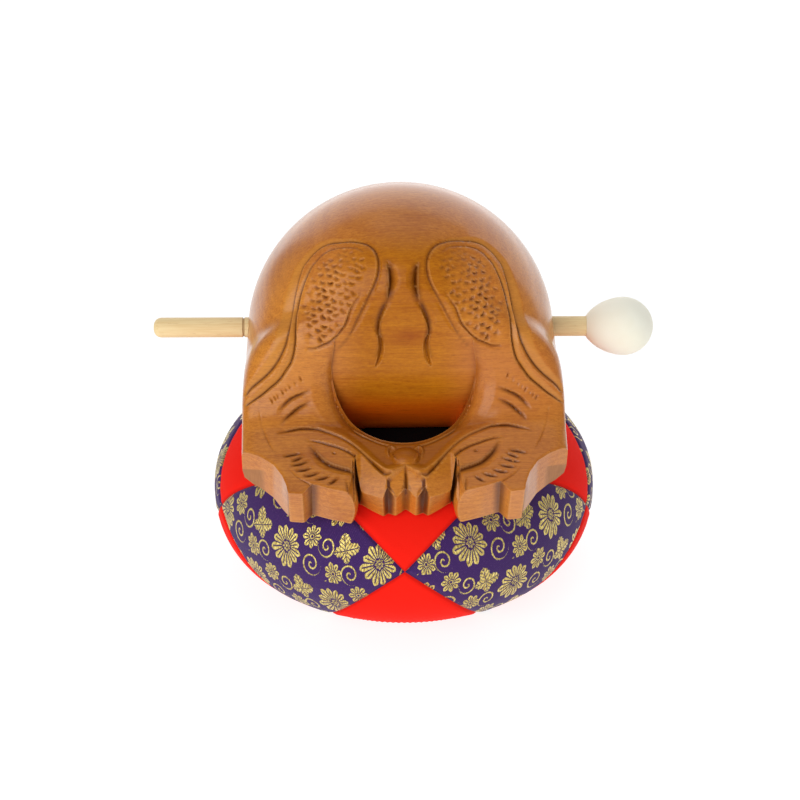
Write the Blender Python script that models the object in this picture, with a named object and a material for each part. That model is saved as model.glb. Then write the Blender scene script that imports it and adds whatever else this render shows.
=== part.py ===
"""Mokugyo: a carved, hollow wooden drum resting on a stuffed cushion, with its beater.

Metres, +Z up. The origin is the centre of the cushion's flat base, X runs from side to side,
and -Y is the side of the carved handle. The drum is modelled level, in its own axes, with the
slit in its XY plane, and is then tipped so that the handle rests low on the cushion.
"""
import math

import bmesh
import bpy
from mathutils import Matrix, Vector

MM = 0.001
GAP = 0.3 * MM               # clearance that touching pieces keep

# Drum body, in the drum's own axes
DRUM_HALF_WIDTH = 70.5 * MM
FRONT_FLARE = 2.0 * MM       # how much wider each side is at the handle
FLARE_LENGTH = 45.0 * MM     # it is reached this far in front of the origin
DRUM_REAR = 72.5 * MM        # rear of the body, behind the origin
DRUM_CROWN_Y = 4.0 * MM      # where the body is tallest
DRUM_TOP = 63.0 * MM
DRUM_BOTTOM = 54.0 * MM
DOME_POWER = 1.97            # roundness of a section through the body
HANDLE_POWER = 8.0           # squarer section of the handle slab
POWER_FROM = -15.0 * MM      # the section starts to grow squarer here
POWER_LENGTH = 45.0 * MM
HANDLE_TOP = 11.0 * MM
HANDLE_BOTTOM = 12.0 * MM
HANDLE_FRONT = -98.0 * MM    # before its outline is cut
TOP_SLOPE = 67.0 * MM        # the crown runs down to the handle over this length
BOTTOM_SLOPE = 62.0 * MM
SLOPE_POWER = 2.4
SLOPE_DEPTH = 2.8
SIDE_STEPS = 44
REAR_STEPS = 13
FRONT_STEPS = 21

# Hollow and slit
WALL = 9.0 * MM
CAVITY_FRONT = 36.0 * MM     # reach of the cavity in front of the crown
CAVITY_STEPS = 14
CAVITY_SIDES = 24
SLIT_WIDTH = 5.0 * MM
SLIT_HOLE_RADIUS = 8.5 * MM
SLIT_HOLE_Y = 6.8 * MM
SLIT_HOLE_SIDES = 32
OUTSIDE = 90.0 * MM          # cutters that go right through end this far out

# Finger hole between the belly and the two heads
HOLE_Y = -37.0 * MM
HOLE_PROFILE = [(-40, 17.6), (0, 28), (13, 31), (20, 32), (26, 32.2), (34, 31.2)]  # z, radius in mm
HOLE_SIDES = 36
BELLY_Y = -0.5 * MM
BELLY_DEPTH = 42.0 * MM
BELLY_HEIGHT = 50.0 * MM
BELLY_FROM = -66.0           # degrees, where its arc starts below
BELLY_STEP = 6.5
BELLY_STEPS = 17
BELLY_TOP = (-22.0 * MM, 52.0 * MM)
BELLY_BACK = 40.0 * MM
BELLY_HALF_WIDTH = 60.0 * MM

# Placing of the drum
TILT = math.radians(28.5)
DRUM_AT = Vector((-0.8 * MM, -8.0 * MM, 124.5 * MM))

# Cushion
CUSHION_RADIUS = 91.0 * MM
CUSHION_HALF_HEIGHT = 49.2 * MM
CUSHION_MID = 42.0 * MM
CUSHION_POWER = 2.29
CUSHION_AROUND = 48
CUSHION_RINGS = 22
SEAT_GAP = 0.5 * MM          # between the drum and the hollow it presses

# Beater
STICK_RADIUS = 4.65 * MM
STICK_START = -114.4 * MM
STICK_END = 103.0 * MM
BUTT_ROUND = 3.6 * MM
BUTT_STEPS = 4
RING_AT = -72.6 * MM
RING_DEPTH = 0.5 * MM
RING_HALF = 0.5 * MM
HEAD_START = 86.4 * MM
HEAD_WIDEST = 103.6 * MM
HEAD_RADIUS = 13.6 * MM
HEAD_FRONT_REACH = 14.0 * MM
HEAD_BACK_REACH = 19.0 * MM
HEAD_BACK_POWER = 1.8
BEATER_TURN = math.radians(-1.25)
BEATER_DROP = 3.0 * MM       # below the middle of the end holes, resting on their rims
STICK_SIDES = 20
HEAD_SIDES = 28
HEAD_STEPS = 8

# Outlines of the two heads, seen from above, for the side at -X: (x, y) in millimetres.
# Each runs from the body's side, round the gill notch, post, chin and mouth, to the middle
# groove. The walls lean, so there is one outline for the top and one for the bottom.
HEADS_TOP = [
    (-80, -44), (-80, -68), (-72, -70.5), (-69.6, -71.6), (-63.9, -74.7), (-58.3, -79),
    (-54.5, -84.8), (-52.5, -90.5), (-52, -94.3), (-45.6, -94.9), (-41.4, -89.5), (-33.8, -92.2),
    (-25.8, -94.2), (-24.9, -90.6), (-22.3, -75.7), (-20.3, -88), (-19.6, -91), (-15, -92.4),
    (-10.4, -93.5), (-8.2, -88), (-4.6, -92.2), (0, -87.5),
]
HEADS_LOW = [
    (-80, -44), (-80, -68), (-72, -73), (-69.8, -74.4), (-64.6, -77.2), (-58.9, -81.9),
    (-54.9, -87.9), (-51.9, -92), (-51.6, -94.8), (-45.1, -95.4), (-41.6, -91.2), (-33, -94),
    (-24.2, -96.3), (-22.6, -93.5), (-20.8, -85.2), (-20, -86.6), (-19.6, -86.2), (-15.6, -89.2),
    (-9.9, -92.7), (-7.8, -91.1), (-4.4, -92.5), (0, -89),
]
HEADS_SIDE = 80.0 * MM       # the outline leaves the body's sides untouched

# Grooves carved on the top, for the side at -X: (x, y) in millimetres.
EAR_GROOVE = [(-70.6, -44.6), (-68, -43.2), (-62.5, -39.8), (-55.5, -34.6), (-50.3, -26.4),
              (-47.4, -12), (-44.4, -0.6), (-39, 5.4), (-31.5, 8.8), (-22.4, 7.2), (-14.2, 1),
              (-11.2, -6), (-12.6, -12.6), (-18.3, -22.7), (-24.1, -29.3), (-29.6, -34)]
BAND_GROOVE = [(-70.4, -50.2), (-68, -48), (-59.5, -42), (-50.8, -37.4), (-47.2, -30.6),
               (-46.2, -21.6), (-44.9, -12.7), (-42.6, -4), (-37.6, 2.6), (-31.4, 5.2)]
BROW_GROOVE = [(-57, -62.4), (-50.5, -60.6), (-43.6, -60), (-36.6, -61), (-30, -64.1),
               (-23.6, -69.6), (-17.9, -75.6), (-12.6, -81.6), (-6.6, -85)]
GROOVE_DEPTH = 0.9 * MM
GROOVE_SPREAD = 1.6          # half width over depth
GROOVE_END = 0.3             # share of the depth at the ends

# Wedge that slopes the snouts: (y, z) of its section in millimetres
MOUTH_WEDGE = [(-81, 12), (-100, -0.5), (-100, 20), (-81, 20)]
MOUTH_HALF_WIDTH = 21.0 * MM


def drum_width(y, grow=0.0):
    """Half width of the body at y."""
    rear = DRUM_REAR + grow
    behind = min(max(y / rear, 0.0), 1.0)
    ahead = min(max(-y / FLARE_LENGTH, 0.0), 1.0)
    return (DRUM_HALF_WIDTH + grow + FRONT_FLARE * ahead) * math.sqrt(1 - behind ** 2)


def drum_height(y, crown, slab, slope, grow=0.0):
    """Height over the middle: the crown, falling to the handle slab in front and to nothing behind."""
    if y >= DRUM_CROWN_Y:
        behind = min((y - DRUM_CROWN_Y) / (DRUM_REAR + grow - DRUM_CROWN_Y), 1.0)
        return (crown + grow) * math.sqrt(1 - behind ** 2)
    ahead = min((DRUM_CROWN_Y - y) / slope, 1.0)
    return slab + grow + (crown - slab) * (1 - ahead ** SLOPE_POWER) ** SLOPE_DEPTH


def section_power(y):
    """A round section at the crown turns into a squarer one at the handle."""
    share = min(max((POWER_FROM - y) / POWER_LENGTH, 0.0), 1.0)
    return DOME_POWER + (HANDLE_POWER - DOME_POWER) * share * share * (3 - 2 * share)


def drum_top(x, y):
    """Height of the upper surface at a place seen from above."""
    power = section_power(y)
    inside = max(1 - abs(x / drum_width(y)) ** power, 0.0)
    return drum_height(y, DRUM_TOP, HANDLE_TOP, TOP_SLOPE) * inside ** (1 / power)


def section(y, grow=0.0, steps=SIDE_STEPS):
    """One closed loop of points across the drum."""
    power = section_power(y)
    width = drum_width(y, grow)
    up = drum_height(y, DRUM_TOP, HANDLE_TOP, TOP_SLOPE, grow)
    down = drum_height(y, DRUM_BOTTOM, HANDLE_BOTTOM, BOTTOM_SLOPE, grow)
    points = []
    for step in range(steps):
        angle = 2 * math.pi * step / steps
        c, s = math.cos(angle), math.sin(angle)
        x = math.copysign(abs(c) ** (2 / power), c) * width
        z = math.copysign(abs(s) ** (2 / power), s) * (up if s > 0 else down)
        points.append((x, y, z))
    return points


def mesh_object(name, bm, smooth_angle=35):
    """Turn a bmesh into an object with outward faces."""
    bmesh.ops.remove_doubles(bm, verts=bm.verts, dist=0.00001)
    bmesh.ops.recalc_face_normals(bm, faces=bm.faces)
    mesh = bpy.data.meshes.new(name)
    bm.to_mesh(mesh)
    bm.free()
    mesh.shade_smooth()
    mesh.set_sharp_from_angle(angle=math.radians(smooth_angle))
    obj = bpy.data.objects.new(name, mesh)
    bpy.context.scene.collection.objects.link(obj)
    return obj


def loft(name, loops, tip=None):
    """Skin closed loops of equal length; the first is capped, the last meets a tip or is capped."""
    bm = bmesh.new()
    rows = [[bm.verts.new(p) for p in loop] for loop in loops]
    for a, b in zip(rows, rows[1:]):
        for i in range(len(a)):
            j = (i + 1) % len(a)
            bm.faces.new((a[i], a[j], b[j], b[i]))
    bm.faces.new(rows[0])
    if tip is None:
        bm.faces.new(rows[-1])
    else:
        point = bm.verts.new(tip)
        for i in range(len(rows[-1])):
            bm.faces.new((rows[-1][i], rows[-1][(i + 1) % len(rows[-1])], point))
    return mesh_object(name, bm)


def side_to_side(name, profile, half_width):
    """A closed profile in the YZ plane, extruded across the drum."""
    return loft(name, [[(x, y, z) for y, z in profile] for x in (-half_width, half_width)])


def revolve(name, profile, sides):
    """Turn (along, radius) points about the X axis; points of no radius become poles."""
    bm = bmesh.new()
    rows = []
    for along, radius in profile:
        if radius == 0:
            rows.append([bm.verts.new((along, 0, 0))])
            continue
        rows.append([bm.verts.new((along, radius * math.cos(2 * math.pi * i / sides),
                                   radius * math.sin(2 * math.pi * i / sides)))
                     for i in range(sides)])
    for a, b in zip(rows, rows[1:]):
        for i in range(sides):
            j = (i + 1) % sides
            corners = [a[i % len(a)], a[j % len(a)], b[j % len(b)], b[i % len(b)]]
            bm.faces.new(list(dict.fromkeys(corners)))
    return mesh_object(name, bm)


def cut(target, cutter, operation="DIFFERENCE"):
    """Add a live Boolean and hide its cutter."""
    modifier = target.modifiers.new(cutter.name, "BOOLEAN")
    modifier.operation = operation
    modifier.object = cutter
    modifier.solver = "EXACT"
    cutter.hide_render = True
    cutter.display_type = "WIRE"


def material(obj, name, color, roughness, metallic=0.0):
    """Give an object its own Principled material."""
    mat = bpy.data.materials.new(name)
    mat.use_nodes = True
    shader = mat.node_tree.nodes["Principled BSDF"]
    shader.inputs["Base Color"].default_value = (*color, 1)
    shader.inputs["Roughness"].default_value = roughness
    shader.inputs["Metallic"].default_value = metallic
    mat.diffuse_color = (*color, 1)
    obj.data.materials.append(mat)


def drum_stations(front):
    """Places along Y for the sections, closer together where the form turns faster."""
    ahead = [front + (DRUM_CROWN_Y - front) * i / FRONT_STEPS for i in range(FRONT_STEPS)]
    behind = [DRUM_CROWN_Y + (DRUM_REAR - DRUM_CROWN_Y) * math.sin(math.pi / 2 * i / REAR_STEPS)
              for i in range(REAR_STEPS)]
    return ahead + behind


def drum_block(name, grow=0.0):
    """The uncarved outer form of the drum, handle slab included."""
    loops = [section(y, grow) for y in drum_stations(HANDLE_FRONT)]
    return loft(name, loops, (0, DRUM_REAR + grow, 0))


def cavity():
    """The hollow, which follows the outer form at the depth of the wall."""
    loops = []
    length_back = DRUM_REAR - WALL - DRUM_CROWN_Y
    for i in range(1, CAVITY_STEPS):
        turn = math.pi * i / CAVITY_STEPS
        reach = CAVITY_FRONT if turn > math.pi / 2 else length_back
        y = DRUM_CROWN_Y + reach * math.cos(turn)
        round_off = math.sin(turn)
        width = (DRUM_HALF_WIDTH - WALL) * round_off
        up, down = (DRUM_TOP - WALL) * round_off, (DRUM_BOTTOM - WALL) * round_off
        loop = []
        for step in range(CAVITY_SIDES):
            angle = 2 * math.pi * step / CAVITY_SIDES
            height = up if math.sin(angle) > 0 else down
            loop.append((width * math.cos(angle), y, height * math.sin(angle)))
        loops.append(loop)
    return loft("cavity_cutter", loops, (0, DRUM_CROWN_Y - CAVITY_FRONT, 0))


def heads_outline():
    """The plan outline of the handle, mirrored, with the whole body left inside it."""
    loops = []
    for outline, z in ((HEADS_LOW, -HEADS_SIDE), (HEADS_LOW, -HANDLE_BOTTOM),
                       (HEADS_TOP, HANDLE_TOP), (HEADS_TOP, HEADS_SIDE)):
        left = [(x * MM, y * MM, z) for x, y in outline]
        right = [(-x, y, z) for x, y, z in reversed(left[:-1])]
        loops.append(left + right + [(HEADS_SIDE, OUTSIDE, z), (-HEADS_SIDE, OUTSIDE, z)])
    return loft("heads_cutter", loops)


def finger_hole():
    """A flaring hole whose rear side stops at the rounded belly of the drum."""
    loops = []
    for z, radius in HOLE_PROFILE:
        loops.append([(radius * MM * math.cos(2 * math.pi * i / HOLE_SIDES),
                       HOLE_Y + radius * MM * math.sin(2 * math.pi * i / HOLE_SIDES), z * MM)
                      for i in range(HOLE_SIDES)])
    hole = loft("hole_cutter", loops)
    # an arc below, then a line that meets the carved top
    arc = []
    for i in range(BELLY_STEPS):
        angle = math.radians(BELLY_FROM + BELLY_STEP * i)
        arc.append((BELLY_Y - BELLY_DEPTH * math.cos(angle), BELLY_HEIGHT * math.sin(angle)))
    profile = arc + [BELLY_TOP, (BELLY_BACK, BELLY_TOP[1]), (BELLY_BACK, arc[0][1])]
    belly = side_to_side("belly_keeper", profile, BELLY_HALF_WIDTH)
    belly.parent = hole
    cut(hole, belly)
    return hole


def slit():
    """The sounding slit: a saw cut round the rear half that ends in two round holes."""
    half = SLIT_WIDTH / 2
    saw_cut = side_to_side("slit_cutter", [(SLIT_HOLE_Y, -half), (OUTSIDE, -half),
                                           (OUTSIDE, half), (SLIT_HOLE_Y, half)], OUTSIDE)
    holes = revolve("slit_hole_cutter", [(-OUTSIDE, 0), (-OUTSIDE, SLIT_HOLE_RADIUS),
                                         (OUTSIDE, SLIT_HOLE_RADIUS), (OUTSIDE, 0)],
                    SLIT_HOLE_SIDES)
    holes.location.y = SLIT_HOLE_Y
    return saw_cut, holes


def smooth_path(points, steps):
    """Points on a Catmull-Rom curve through a list of plan points."""
    ends = [points[0]] + points + [points[-1]]
    path = []
    for a, b, c, d in zip(ends, ends[1:], ends[2:], ends[3:]):
        for i in range(steps):
            t = i / steps
            path.append(tuple(0.5 * (2 * b[k] + (c[k] - a[k]) * t
                                     + (2 * a[k] - 5 * b[k] + 4 * c[k] - d[k]) * t * t
                                     + (3 * b[k] - a[k] - 3 * c[k] + d[k]) * t ** 3)
                              for k in range(2)))
    path.append(points[-1])
    return path


def groove_cutter(name, points, side, steps=2):
    """A V-shaped bar that follows the carved top with its edge sunk in it."""
    loops = []
    path = smooth_path([(x * MM * side, y * MM) for x, y in points], steps)
    centres = [Vector((x, y, drum_top(x, y))) for x, y in path]
    for i, centre in enumerate(centres):
        ahead = centres[min(i + 1, len(centres) - 1)] - centres[max(i - 1, 0)]
        across = ahead.cross(Vector((0, 0, 1))).normalized()
        normal = across.cross(ahead).normalized()
        depth = GROOVE_DEPTH * (GROOVE_END if i in (0, len(centres) - 1) else 1.0)
        loops.append([centre - depth * normal,
                      centre + GROOVE_DEPTH * (normal + GROOVE_SPREAD * across),
                      centre + GROOVE_DEPTH * (normal - GROOVE_SPREAD * across)])
    return loft(name, loops)


def mouth_chamfer():
    """A wedge that slopes the snouts down from the brow to the front of the handle."""
    return side_to_side("mouth_cutter", [(y * MM, z * MM) for y, z in MOUTH_WEDGE],
                        MOUTH_HALF_WIDTH)


def build_drum(tipped):
    """The drum, one carved block of wood."""
    drum = drum_block("drum")
    cutters = []
    for side, word in ((1, "left"), (-1, "right")):
        for name, points in (("ear", EAR_GROOVE), ("band", BAND_GROOVE), ("brow", BROW_GROOVE)):
            cutters.append((groove_cutter(f"{name}_groove_{word}", points, side), "DIFFERENCE"))
    cutters += [(heads_outline(), "INTERSECT"), (finger_hole(), "DIFFERENCE"),
                (mouth_chamfer(), "DIFFERENCE"), (cavity(), "DIFFERENCE")]
    cutters += [(piece, "DIFFERENCE") for piece in slit()]
    for piece, operation in cutters:
        cut(drum, piece, operation)
        piece.parent = tipped
    drum.parent = tipped
    material(drum, "lacquered_wood", (0.47, 0.22, 0.06), 0.35)
    return drum


def build_cushion(tipped):
    """The stuffed cushion: a flattened ball with a flat base and the hollow the drum presses."""
    loops = []
    for ring in range(1, CUSHION_RINGS):
        angle = math.pi * ring / CUSHION_RINGS
        c, s = math.cos(angle), math.sin(angle)
        radius = CUSHION_RADIUS * s ** (2 / CUSHION_POWER)
        height = math.copysign(abs(c) ** (2 / CUSHION_POWER), c) * CUSHION_HALF_HEIGHT
        z = max(CUSHION_MID - height, 0.0)
        loops.append([(radius * math.cos(math.tau * i / CUSHION_AROUND),
                       radius * math.sin(math.tau * i / CUSHION_AROUND), z)
                      for i in range(CUSHION_AROUND)])
    loops = [loop for loop, after in zip(loops, loops[1:]) if after[0][2] > 0] + loops[-1:]
    cushion = loft("cushion", loops, (0, 0, CUSHION_MID + CUSHION_HALF_HEIGHT))
    seat = drum_block("seat_cutter", SEAT_GAP)
    seat.parent = tipped
    cut(cushion, seat)
    material(cushion, "cushion_cloth", (0.10, 0.03, 0.16), 0.8)
    return cushion


def build_beater():
    """The beater: a wooden stick through the slit's end holes, with a rubber head."""
    stick_profile = [(STICK_START, 0)]
    for i in range(BUTT_STEPS + 1):
        turn = math.pi / 2 * i / BUTT_STEPS
        stick_profile.append((STICK_START + BUTT_ROUND * (1 - math.cos(turn)),
                              STICK_RADIUS - BUTT_ROUND * (1 - math.sin(turn))))
    stick_profile += [(RING_AT - RING_HALF, STICK_RADIUS), (RING_AT, STICK_RADIUS - RING_DEPTH),
                      (RING_AT + RING_HALF, STICK_RADIUS),
                      (STICK_END, STICK_RADIUS), (STICK_END, 0)]
    stick = revolve("beater_stick", stick_profile, STICK_SIDES)
    bore = STICK_RADIUS + GAP
    profile = [(STICK_END + GAP, 0), (STICK_END + GAP, bore), (HEAD_START, bore)]
    for i in range(HEAD_STEPS + 1):
        back = (HEAD_WIDEST - HEAD_START) * (1 - i / HEAD_STEPS)
        share = (back / HEAD_BACK_REACH) ** HEAD_BACK_POWER
        profile.append((HEAD_WIDEST - back, HEAD_RADIUS * (1 - share) ** (1 / HEAD_BACK_POWER)))
    for i in range(1, HEAD_STEPS):
        turn = math.pi / 2 * i / HEAD_STEPS
        profile.append((HEAD_WIDEST + HEAD_FRONT_REACH * math.sin(turn),
                        HEAD_RADIUS * math.cos(turn)))
    profile.append((HEAD_WIDEST + HEAD_FRONT_REACH, 0))
    head = revolve("beater_head", profile, HEAD_SIDES)
    hole_centre = Matrix.Rotation(TILT, 3, "X") @ Vector((0, SLIT_HOLE_Y, 0)) + DRUM_AT
    for piece in (stick, head):
        piece.location = hole_centre - Vector((0, 0, BEATER_DROP))
        piece.rotation_euler.z = BEATER_TURN
    material(stick, "pale_wood", (0.78, 0.58, 0.32), 0.5)
    material(head, "cream_rubber", (0.86, 0.83, 0.68), 0.45)


def main():
    for obj in list(bpy.data.objects):
        bpy.data.objects.remove(obj, do_unlink=True)
    tipped = bpy.data.objects.new("drum_axes", None)
    bpy.context.scene.collection.objects.link(tipped)
    tipped.location = DRUM_AT
    tipped.rotation_euler.x = TILT
    build_drum(tipped)
    build_cushion(tipped)
    build_beater()


main()
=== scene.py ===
# %% [markdown]
# # A mokugyo: a carved wooden drum on a stuffed cushion, with its beater
# A mokugyo is a hollow block of wood that keeps time for chanting. A carver shapes it like a
# round fish whose two heads meet at a finger hole, hollows it through a saw cut, and lacquers
# it thinly so that the grain shows. The CAD model holds its sizes. This lesson gives it its
# carving, its wood, its patchwork cushion and its beater, and never moves the CAD model.

# %% Read the frame
import math

import bpy
import numpy as np
from mathutils import Matrix, Vector
from mathutils.bvhtree import BVHTree
from mathutils.kdtree import KDTree


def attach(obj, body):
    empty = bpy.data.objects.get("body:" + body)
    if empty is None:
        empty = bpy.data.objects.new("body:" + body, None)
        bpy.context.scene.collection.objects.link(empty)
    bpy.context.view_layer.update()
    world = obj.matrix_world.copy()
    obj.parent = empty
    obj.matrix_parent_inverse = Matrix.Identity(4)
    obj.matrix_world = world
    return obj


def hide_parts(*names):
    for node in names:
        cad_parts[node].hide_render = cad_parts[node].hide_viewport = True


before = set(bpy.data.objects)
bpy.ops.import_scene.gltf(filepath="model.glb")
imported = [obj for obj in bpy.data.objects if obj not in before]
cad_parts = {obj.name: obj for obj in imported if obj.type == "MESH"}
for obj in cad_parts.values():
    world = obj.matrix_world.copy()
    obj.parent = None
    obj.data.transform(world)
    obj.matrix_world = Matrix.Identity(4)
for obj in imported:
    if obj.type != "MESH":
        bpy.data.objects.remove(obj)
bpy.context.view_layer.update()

# %% [markdown]
# ## A few hand tools
# Every later cell picks up one object, works on it and puts it down again. Operators act on
# whatever is selected, so the first habit is to clear the selection. Shapes are worked out in
# millimetres with numpy, and only turned into metres when they are put into a mesh.

# %% Hand tools
MM = 0.001


def put_down():
    """Leave edit mode and let go of everything."""
    if bpy.context.object and bpy.context.object.mode == "EDIT":
        bpy.ops.object.mode_set(mode="OBJECT")
    bpy.ops.object.select_all(action="DESELECT")


def pick(piece):
    """Select one object alone."""
    put_down()
    piece.select_set(True)
    bpy.context.view_layer.objects.active = piece


def named(name):
    """Name the primitive that was just added."""
    piece = bpy.context.object
    piece.name = name
    piece.data.name = name
    return piece


def edit_all(piece):
    """Open a piece in edit mode with all of it selected."""
    pick(piece)
    bpy.ops.object.mode_set(mode="EDIT")
    bpy.ops.mesh.select_all(action="SELECT")


def close_up(piece, gap=0.01 * MM):
    """Merge doubled points, cap open ends and face everything outwards."""
    edit_all(piece)
    bpy.ops.mesh.remove_doubles(threshold=gap)
    bpy.ops.mesh.fill_holes(sides=0)
    bpy.ops.mesh.normals_make_consistent(inside=False)
    put_down()


def apply_modifier(piece, kind, **settings):
    """Add a modifier, set it and apply it."""
    pick(piece)
    modifier = piece.modifiers.new(kind.title(), kind)
    for name, value in settings.items():
        setattr(modifier, name, value)
    bpy.ops.object.modifier_apply(modifier=modifier.name)


def read_points(piece):
    """The places of a piece's points, in millimetres."""
    flat = np.empty(3 * len(piece.data.vertices))
    piece.data.vertices.foreach_get("co", flat)
    return flat.reshape(-1, 3) / MM


def read_normals(piece):
    """The directions a piece's points face."""
    flat = np.empty(3 * len(piece.data.vertices))
    piece.data.vertices.foreach_get("normal", flat)
    return flat.reshape(-1, 3)


def move_points(piece, points):
    """Put a piece's points at places given in millimetres."""
    piece.data.vertices.foreach_set("co", (np.asarray(points) * MM).ravel())
    piece.data.update()


def write_values(piece, name, values):
    """Store one number per point, for a material to read."""
    layer = piece.data.attributes.new(name, "FLOAT", "POINT")
    layer.data.foreach_set("value", np.asarray(values, dtype=np.float32))


def grid_places(piece, columns, rows):
    """The column and row of each point of a fresh grid primitive of size 1."""
    points = read_points(piece) * MM + 0.5
    return np.rint(points[:, 0] * columns).astype(int), np.rint(points[:, 1] * rows).astype(int)


def ease(low, high, value):
    """A smooth rise from 0 at low to 1 at high."""
    share = np.clip((value - low) / (high - low), 0, 1)
    return share * share * (3 - 2 * share)


print("hand tools are ready")

# %% [markdown]
# ## The drum's outer form
# The carver starts from a block turned and rasped to an egg with a flat tongue in front. Each
# cross section is a superellipse: an ellipse through the crown and squarer in the tongue. A
# sphere could be pulled into such a form, but one formula keeps both ends of it exact and lets
# every later cell ask how high the wood stands at any place. All of it is worked out in the
# drum's own axes, with the saw cut level, and the whole drum is tipped onto the cushion later.

# %% Outer form
DRUM_HALF_WIDTH = 70.5
FRONT_FLARE = 2.0            # each side is this much wider at the tongue
DRUM_REAR = 72.5
CROWN_Y = 4.0
DRUM_TOP = 63.5
DRUM_BOTTOM = 54.0
DOME_POWER = 2.0
TONGUE_POWER = 8.0
TONGUE_TOP = 11.0
TONGUE_BOTTOM = 12.0
TONGUE_FRONT = -98.0
TOP_SLOPE = 67.0
BOTTOM_SLOPE = 62.0
TURN_START = -15.0           # from here forwards the sections turn squarer
TURN_LENGTH = 45.0
LEAVE_POWER, ARRIVE_POWER = 2.4, 2.8     # how the slope leaves the crown and meets the tongue
SECTION_SAMPLES = 900


def half_width(y):
    """Half the width of the section at a place along the drum."""
    behind = np.clip(y / DRUM_REAR, 0, 1)
    ahead = np.clip(-y / TURN_LENGTH, 0, 1)
    return (DRUM_HALF_WIDTH + FRONT_FLARE * ahead) * np.sqrt(1 - behind ** 2)


def middle_height(y, crown, tongue, slope):
    """Height of the middle line, of the top or, turned over, of the underside."""
    behind = np.clip((y - CROWN_Y) / (DRUM_REAR - CROWN_Y), 0, 1)
    ahead = np.clip((CROWN_Y - y) / slope, 0, 1)
    in_front = tongue + (crown - tongue) * (1 - ahead ** LEAVE_POWER) ** ARRIVE_POWER
    return np.where(y >= CROWN_Y, crown * np.sqrt(1 - behind ** 2), in_front)


def power(y):
    """How square a section is: 2 is an ellipse, more is squarer."""
    return DOME_POWER + (TONGUE_POWER - DOME_POWER) * ease(0, TURN_LENGTH, TURN_START - y)


def top_height(x, y):
    """Height of the uncarved top over a place seen from above."""
    width = np.maximum(half_width(y), 0.01)
    inside = np.clip(1 - np.abs(x / width) ** power(y), 0, 1)
    return middle_height(y, DRUM_TOP, TONGUE_TOP, TOP_SLOPE) * inside ** (1 / power(y))


def evenly(points, count):
    """Count + 1 points at equal steps along a line of points."""
    steps = np.linalg.norm(np.diff(points, axis=0), axis=1)
    along = np.concatenate([[0], np.cumsum(steps)])
    wanted = np.linspace(0, along[-1], count + 1)
    return np.stack([np.interp(wanted, along, column) for column in points.T], axis=1)


def section_row(y, over, under):
    """One loop round the drum: over steps across the top from +X, then under steps back."""
    width, exponent = half_width(y), 2 / power(y)
    loop = []
    for start, steps, height in (
        (0, over, middle_height(y, DRUM_TOP, TONGUE_TOP, TOP_SLOPE)),
        (math.pi, under, middle_height(y, DRUM_BOTTOM, TONGUE_BOTTOM, BOTTOM_SLOPE)),
    ):
        angle = start + np.linspace(0, math.pi, SECTION_SAMPLES)
        c, s = np.cos(angle), np.sin(angle)
        x = np.sign(c) * np.abs(c) ** exponent * width
        z = np.sign(s) * np.abs(s) ** exponent * height
        loop.append(evenly(np.stack([x, z], axis=1), steps)[:-1])
    loop.append(loop[0][:1])
    xz = np.concatenate(loop)
    return np.stack([xz[:, 0], np.full(len(xz), y), xz[:, 1]], axis=1)


print("the crown is", round(float(top_height(0, CROWN_Y)), 1), "mm above the saw cut")

# %% [markdown]
# ## Places on the drum
# The fingers' hole tapers downwards, and a crest runs from each brow to the pearl that the two
# dragons hold between their mouths. Such places are given by a few points each, as a carver
# marks them with a pencil. A smooth curve is drawn through the points, and every later form
# asks how far it is from such a curve and on which side of it.

# %% Places on the drum
CURVE_STEPS = 24
HOLE_Y = -37.0
HOLE_HEIGHTS = (-40, 0, 13, 20, 26, 34, 60)
HOLE_RADII = (17.6, 28, 31, 32, 32.2, 31.2, 31)      # wider upwards, then drawn in a little
HOLE_MOUTH = 32.0
CREST = ((-38, -60.9), (-30.1, -64.1), (-23.5, -69.6), (-17.9, -75.6), (-13.6, -80.4),
         (-9.7, -83.6), (-5.5, -83.3), (0, -81))


def hole_radius(z):
    """Radius of the finger hole at a height."""
    return np.interp(z, HOLE_HEIGHTS, HOLE_RADII)


def curve(points, spacing=0.25):
    """Closely spaced points on a Catmull-Rom curve through a few."""
    given = np.asarray(points, float)
    padded = np.concatenate([2 * given[:1] - given[1:2], given, 2 * given[-1:] - given[-2:-1]])
    pieces = []
    for a, b, c, d in zip(padded, padded[1:], padded[2:], padded[3:]):
        t = np.linspace(0, 1, CURVE_STEPS, endpoint=False)[:, None]
        pieces.append(0.5 * (2 * b + (c - a) * t + (2 * a - 5 * b + 4 * c - d) * t ** 2
                             + (3 * b - a - 3 * c + d) * t ** 3))
    pieces.append(given[-1:])
    line = np.concatenate(pieces)
    length = np.linalg.norm(np.diff(line, axis=0), axis=1).sum()
    return evenly(line, max(int(length / spacing), 2))


def plan_distance(x, y, line):
    """Distance in plan to a line, and on which side of it: + to its left."""
    found, side = np.full(x.shape, 1e9), np.zeros(x.shape)
    ahead = np.gradient(line, axis=0)
    for (px, py), (dx, dy) in zip(line, ahead):
        away = np.hypot(x - px, y - py)
        nearer = away < found
        found = np.where(nearer, away, found)
        side = np.where(nearer, np.sign(dx * (y - py) - dy * (x - px)), side)
    return found, side


print("the crest is", len(curve(CREST, 1.0)) - 1, "mm long in plan")

# %% [markdown]
# ## The belly
# The rear side of the finger hole is the drum's round belly, where a thumb rests. It is half an
# ellipse low down. Higher up it has to run on into the strip between the ears without an edge,
# so a cubic bridge joins the two: it takes its height and its slope from both of them.

# %% The belly
BELLY_Y = -0.5
BELLY_DEPTH = 42.0
BELLY_HEIGHT = 50.0
BELLY_JOIN = -36.9           # below here the belly is an ellipse
STRIP_JOIN = -20.0           # above here it is the drum's own top
CLEAR_SLOPE = 3              # further back the belly's form climbs clear of the wood


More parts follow.
